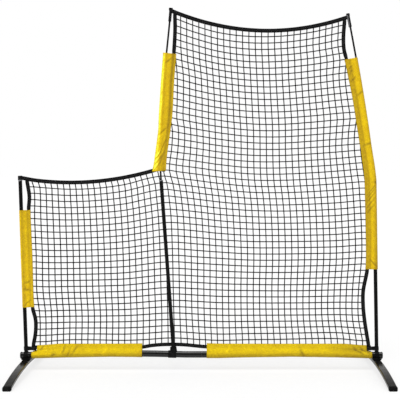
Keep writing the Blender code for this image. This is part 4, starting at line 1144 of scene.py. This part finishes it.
for label, pole, head, seed, head_wide, fold in (
        ("middle", middle_pole, head_middle, 2.2, 0.0122, ()),
        ("right", right_pole, head_right, 6.1, 0.0106, range(13, 20))):
    heights = [head - 0.079 + (0.079 + 0.0010) * number / 26 for number in range(27)]
    pocket(
        f"{label}_corner_pocket", (f"{label}_pocket",), [Vector((pole(z), 0, z)) for z in heights],
        [head_size(number / 26, head_wide) for number in range(27)], seed, fold)
left_axis = (left_head - left_foot).normalized()
cup_foot = left_head + left_axis * 0.0064
pocket(
    "left_corner_pocket", ("left_pocket",),
    [cup_foot + left_axis * 0.0250 * number / 14 for number in range(15)],
    [(0.0128 - 0.0012 * smooth((n / 14 - 0.85) / 0.15), 0.0126 - 0.003 * smooth((n / 14 - 0.8) / 0.2), 0.8)
     for n in range(15)], 4.4)

# Corner straps: webbing looped round the feet of the outer uprights, tacked together beside the net
LOOP_LOW, LOOP_HIGH = 0.1225, 0.1445
LOOP_END = 0.060                # the loop's end from the upright's axis
LOOP_THICK = 0.0019
LOOP_APART = 0.0021             # half the distance between its two ends


def corner_loop(label, pole, side, seed):
    ring = upright_radius + gap + 0.0009
    opening = math.radians(62)
    plan = [(LOOP_END, LOOP_APART)]
    plan += [(LOOP_END - 0.044 * n / 5, LOOP_APART + 0.0006 * math.sin(n * 1.3)) for n in range(1, 5)]
    for step in range(25):
        angle = opening + (2 * math.pi - 2 * opening) * step / 24
        plan.append((ring * math.cos(angle), ring * math.sin(angle)))
    plan += [(LOOP_END - 0.044 * n / 5, -LOOP_APART - 0.0005 * math.sin(n * 1.7)) for n in range(4, 0, -1)]
    plan.append((LOOP_END, -LOOP_APART))
    points, faces = [], []
    middle = (LOOP_LOW + LOOP_HIGH) / 2
    section = strap_section((LOOP_HIGH - LOOP_LOW) / 2, LOOP_THICK)
    for number, (reach, back) in enumerate(plan):
        out = outward_at(plan, number)
        for up, deep in section:
            height = middle + up + 0.0004 * noise_at(number * 0.4, up * 60, seed)
            points.append(Vector((pole(height) + side * (reach + out.x * deep), back + out.y * deep, height)))
    ring_faces(faces, 0, len(plan), len(section))
    name = f"{label}_corner_loop"
    made = make(name, points, faces, webbing_black, (f"corner_strap_{label}",))
    face_outward(made.data)
    thread, thread_faces = [], []
    box = [(0.022, -0.008), (0.056, -0.008), (0.056, 0.008), (0.022, 0.008)]
    box += [box[0], box[2], box[1], box[3]]
    for face in (-1, 1):
        for (a, b), (c, d) in zip(box, box[1:]):
            pieces = max(3, round(math.hypot(c - a, d - b) / 0.0034))
            for n in range(pieces):
                stitch = []
                for part, lift in ((0.12, 0.0), (0.5, 0.0003), (0.88, 0.0)):
                    share = (n + part) / pieces
                    height = middle + b + (d - b) * share
                    stitch.append(Vector((
                        pole(height) + side * (a + (c - a) * share),
                        face * (LOOP_APART + 0.0006 + 0.0011 + lift), height)))
                tube_into(thread, thread_faces, stitch, 0.00042, 4)
    make(name + "_stitches", thread, thread_faces, stitch_grey)


corner_loop("left", left_pole, 1, 3.1)
corner_loop("right", right_pole, -1, 7.7)

# Leaf spring behind the snap button: its upper leg gives way as the button is pressed
LEAF_THICK, LEAF_KNEE, SPRING_KEEP = 0.0008, 0.0104, 0.80
spring_low, spring_high = (Vector(corner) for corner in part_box("snap_button_spring"))
leaf_back, leaf_front = spring_high.y - LEAF_THICK / 2, spring_low.y + LEAF_THICK / 2
leaf_end, leaf_tip = spring_high.x - SHIFT, spring_low.x - SHIFT + LEAF_THICK
leaf_middle, leaf_level = (leaf_back + leaf_front) / 2, (spring_low.z + spring_high.z) / 2
leaf_line = [
    (leaf_end, leaf_back), (leaf_end - LEAF_KNEE, leaf_back),
    (leaf_tip + LEAF_THICK, leaf_middle + 2 * LEAF_THICK)]
leaf_line += [(x, 2 * leaf_middle - y) for x, y in reversed(leaf_line)]
leaf_line = [Vector((x, y, leaf_level)) for x, y in leaf_line]
for _ in range(3):
    eased = [leaf_line[0]]
    for first, second in zip(leaf_line, leaf_line[1:]):
        eased += [first.lerp(second, 0.25), first.lerp(second, 0.75)]
    leaf_line = eased + [leaf_line[-1]]
leaf_half = (spring_high.z - spring_low.z) / 2
leaf_flat = leaf_half - 0.0002
leaf_section = (
    (-leaf_half, -0.3), (-leaf_flat, -0.5), (leaf_flat, -0.5), (leaf_half, -0.3),
    (leaf_half, 0.3), (leaf_flat, 0.5), (-leaf_flat, 0.5), (-leaf_half, 0.3))
leaf_points, leaf_faces = [], []
for number, point in enumerate(leaf_line):
    run = run_at(leaf_line, number)
    out = Vector((-run.y, run.x, 0)) * LEAF_THICK
    leaf_points += [point + out * deep + Vector((0, 0, up)) for up, deep in leaf_section]
ring_faces(leaf_faces, 0, len(leaf_line), len(leaf_section))
leaf_spring = make(
    "leaf_spring", leaf_points, leaf_faces, plate_along, ("snap_button_spring",))
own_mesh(leaf_spring)

# Floor, light and camera
FLOOR_GLOW, FLOOR_PAPER = 0.705, (0.30, 0.30, 0.30)     # together the camera sees white, with the shadow
BEHIND, ABOVE, AROUND_LIGHT = (1.40, 9.0), (6.0, 12.0), 0.08    # what glossy paint sees: soft patches
AMBIENT = 0.66
floor_mesh = bpy.data.meshes.new("studio_floor")
floor_mesh.from_pydata([(-60, -40, 0), (60, -40, 0), (60, 200, 0), (-60, 200, 0)], [], [(0, 1, 2, 3)])
floor = bpy.data.objects.new("studio_floor", floor_mesh)
bpy.context.scene.collection.objects.link(floor)
paper = material("studio_floor_paper")
rays = paper.add("ShaderNodeLightPath").outputs
mirrored = paper.mix(rays["Is Glossy Ray"], (0.95, 0.95, 0.95), (0.85, 0.85, 0.85))
paper.shade(
    Base_Color=paper.mix(rays["Is Camera Ray"], mirrored, FLOOR_PAPER), Roughness=1.0,
    Specular_IOR_Level=0.0, Emission_Color=(1, 1, 1),
    Emission_Strength=paper.calc("MULTIPLY", rays["Is Camera Ray"], FLOOR_GLOW))
floor_mesh.materials.append(paper.owner)

bpy.context.scene.world = bpy.data.worlds.new("studio")
studio = Look(bpy.context.scene.world, "Background")
rays = studio.add("ShaderNodeLightPath").outputs
way = studio.add(
    "ShaderNodeSeparateXYZ", Vector=studio.add("ShaderNodeTexCoord").outputs["Generated"]).outputs


def patch(axis, strength, narrow):
    toward = studio.calc("MAXIMUM", way[axis], 0.0)
    return studio.calc("MULTIPLY", studio.calc("POWER", toward, narrow), strength)


mirrored = studio.calc("ADD", studio.calc("ADD", patch("Y", *BEHIND), patch("Z", *ABOVE)), AROUND_LIGHT)
plain = studio.add("ShaderNodeMix", Factor=rays["Is Glossy Ray"], A=AMBIENT, B=mirrored).outputs["Result"]
seen = studio.calc("MAXIMUM", rays["Is Camera Ray"], rays["Is Transmission Ray"])
studio.shade(
    Color=(1, 1, 1), Strength=studio.add("ShaderNodeMix", Factor=seen, A=plain, B=1.0).outputs["Result"])

for name, strength, spread, tilt, turn in (("key", 1.25, 24, 32, -14), ("fill", 0.40, 70, 60, 40)):
    lamp = bpy.data.lights.new(name, "SUN")
    lamp.energy = strength
    lamp.angle = math.radians(spread)
    holder = bpy.data.objects.new(name, lamp)
    holder.rotation_euler = (math.radians(tilt), 0, math.radians(turn))
    holder.visible_glossy = False
    bpy.context.scene.collection.objects.link(holder)

view = bpy.data.cameras.new("camera")
view.sensor_width = 36.0
view.lens = SCALE * DISTANCE / PHOTO * view.sensor_width
view.shift_x = (PHOTO / 2 - CENTRE[0]) / PHOTO
view.shift_y = (CENTRE[1] - PHOTO / 2) / PHOTO
view.clip_end = 500
camera = bpy.data.objects.new("camera", view)
camera.location = (
    (CENTRE[0] - MIDDLE_PIXEL) / SCALE + SHIFT, -DISTANCE, (FLOOR_PIXEL - CENTRE[1]) / SCALE)
camera.rotation_euler = (math.pi / 2, 0, 0)
bpy.context.scene.collection.objects.link(camera)
bpy.context.scene.camera = camera
bpy.context.scene.view_settings.view_transform = "Standard"
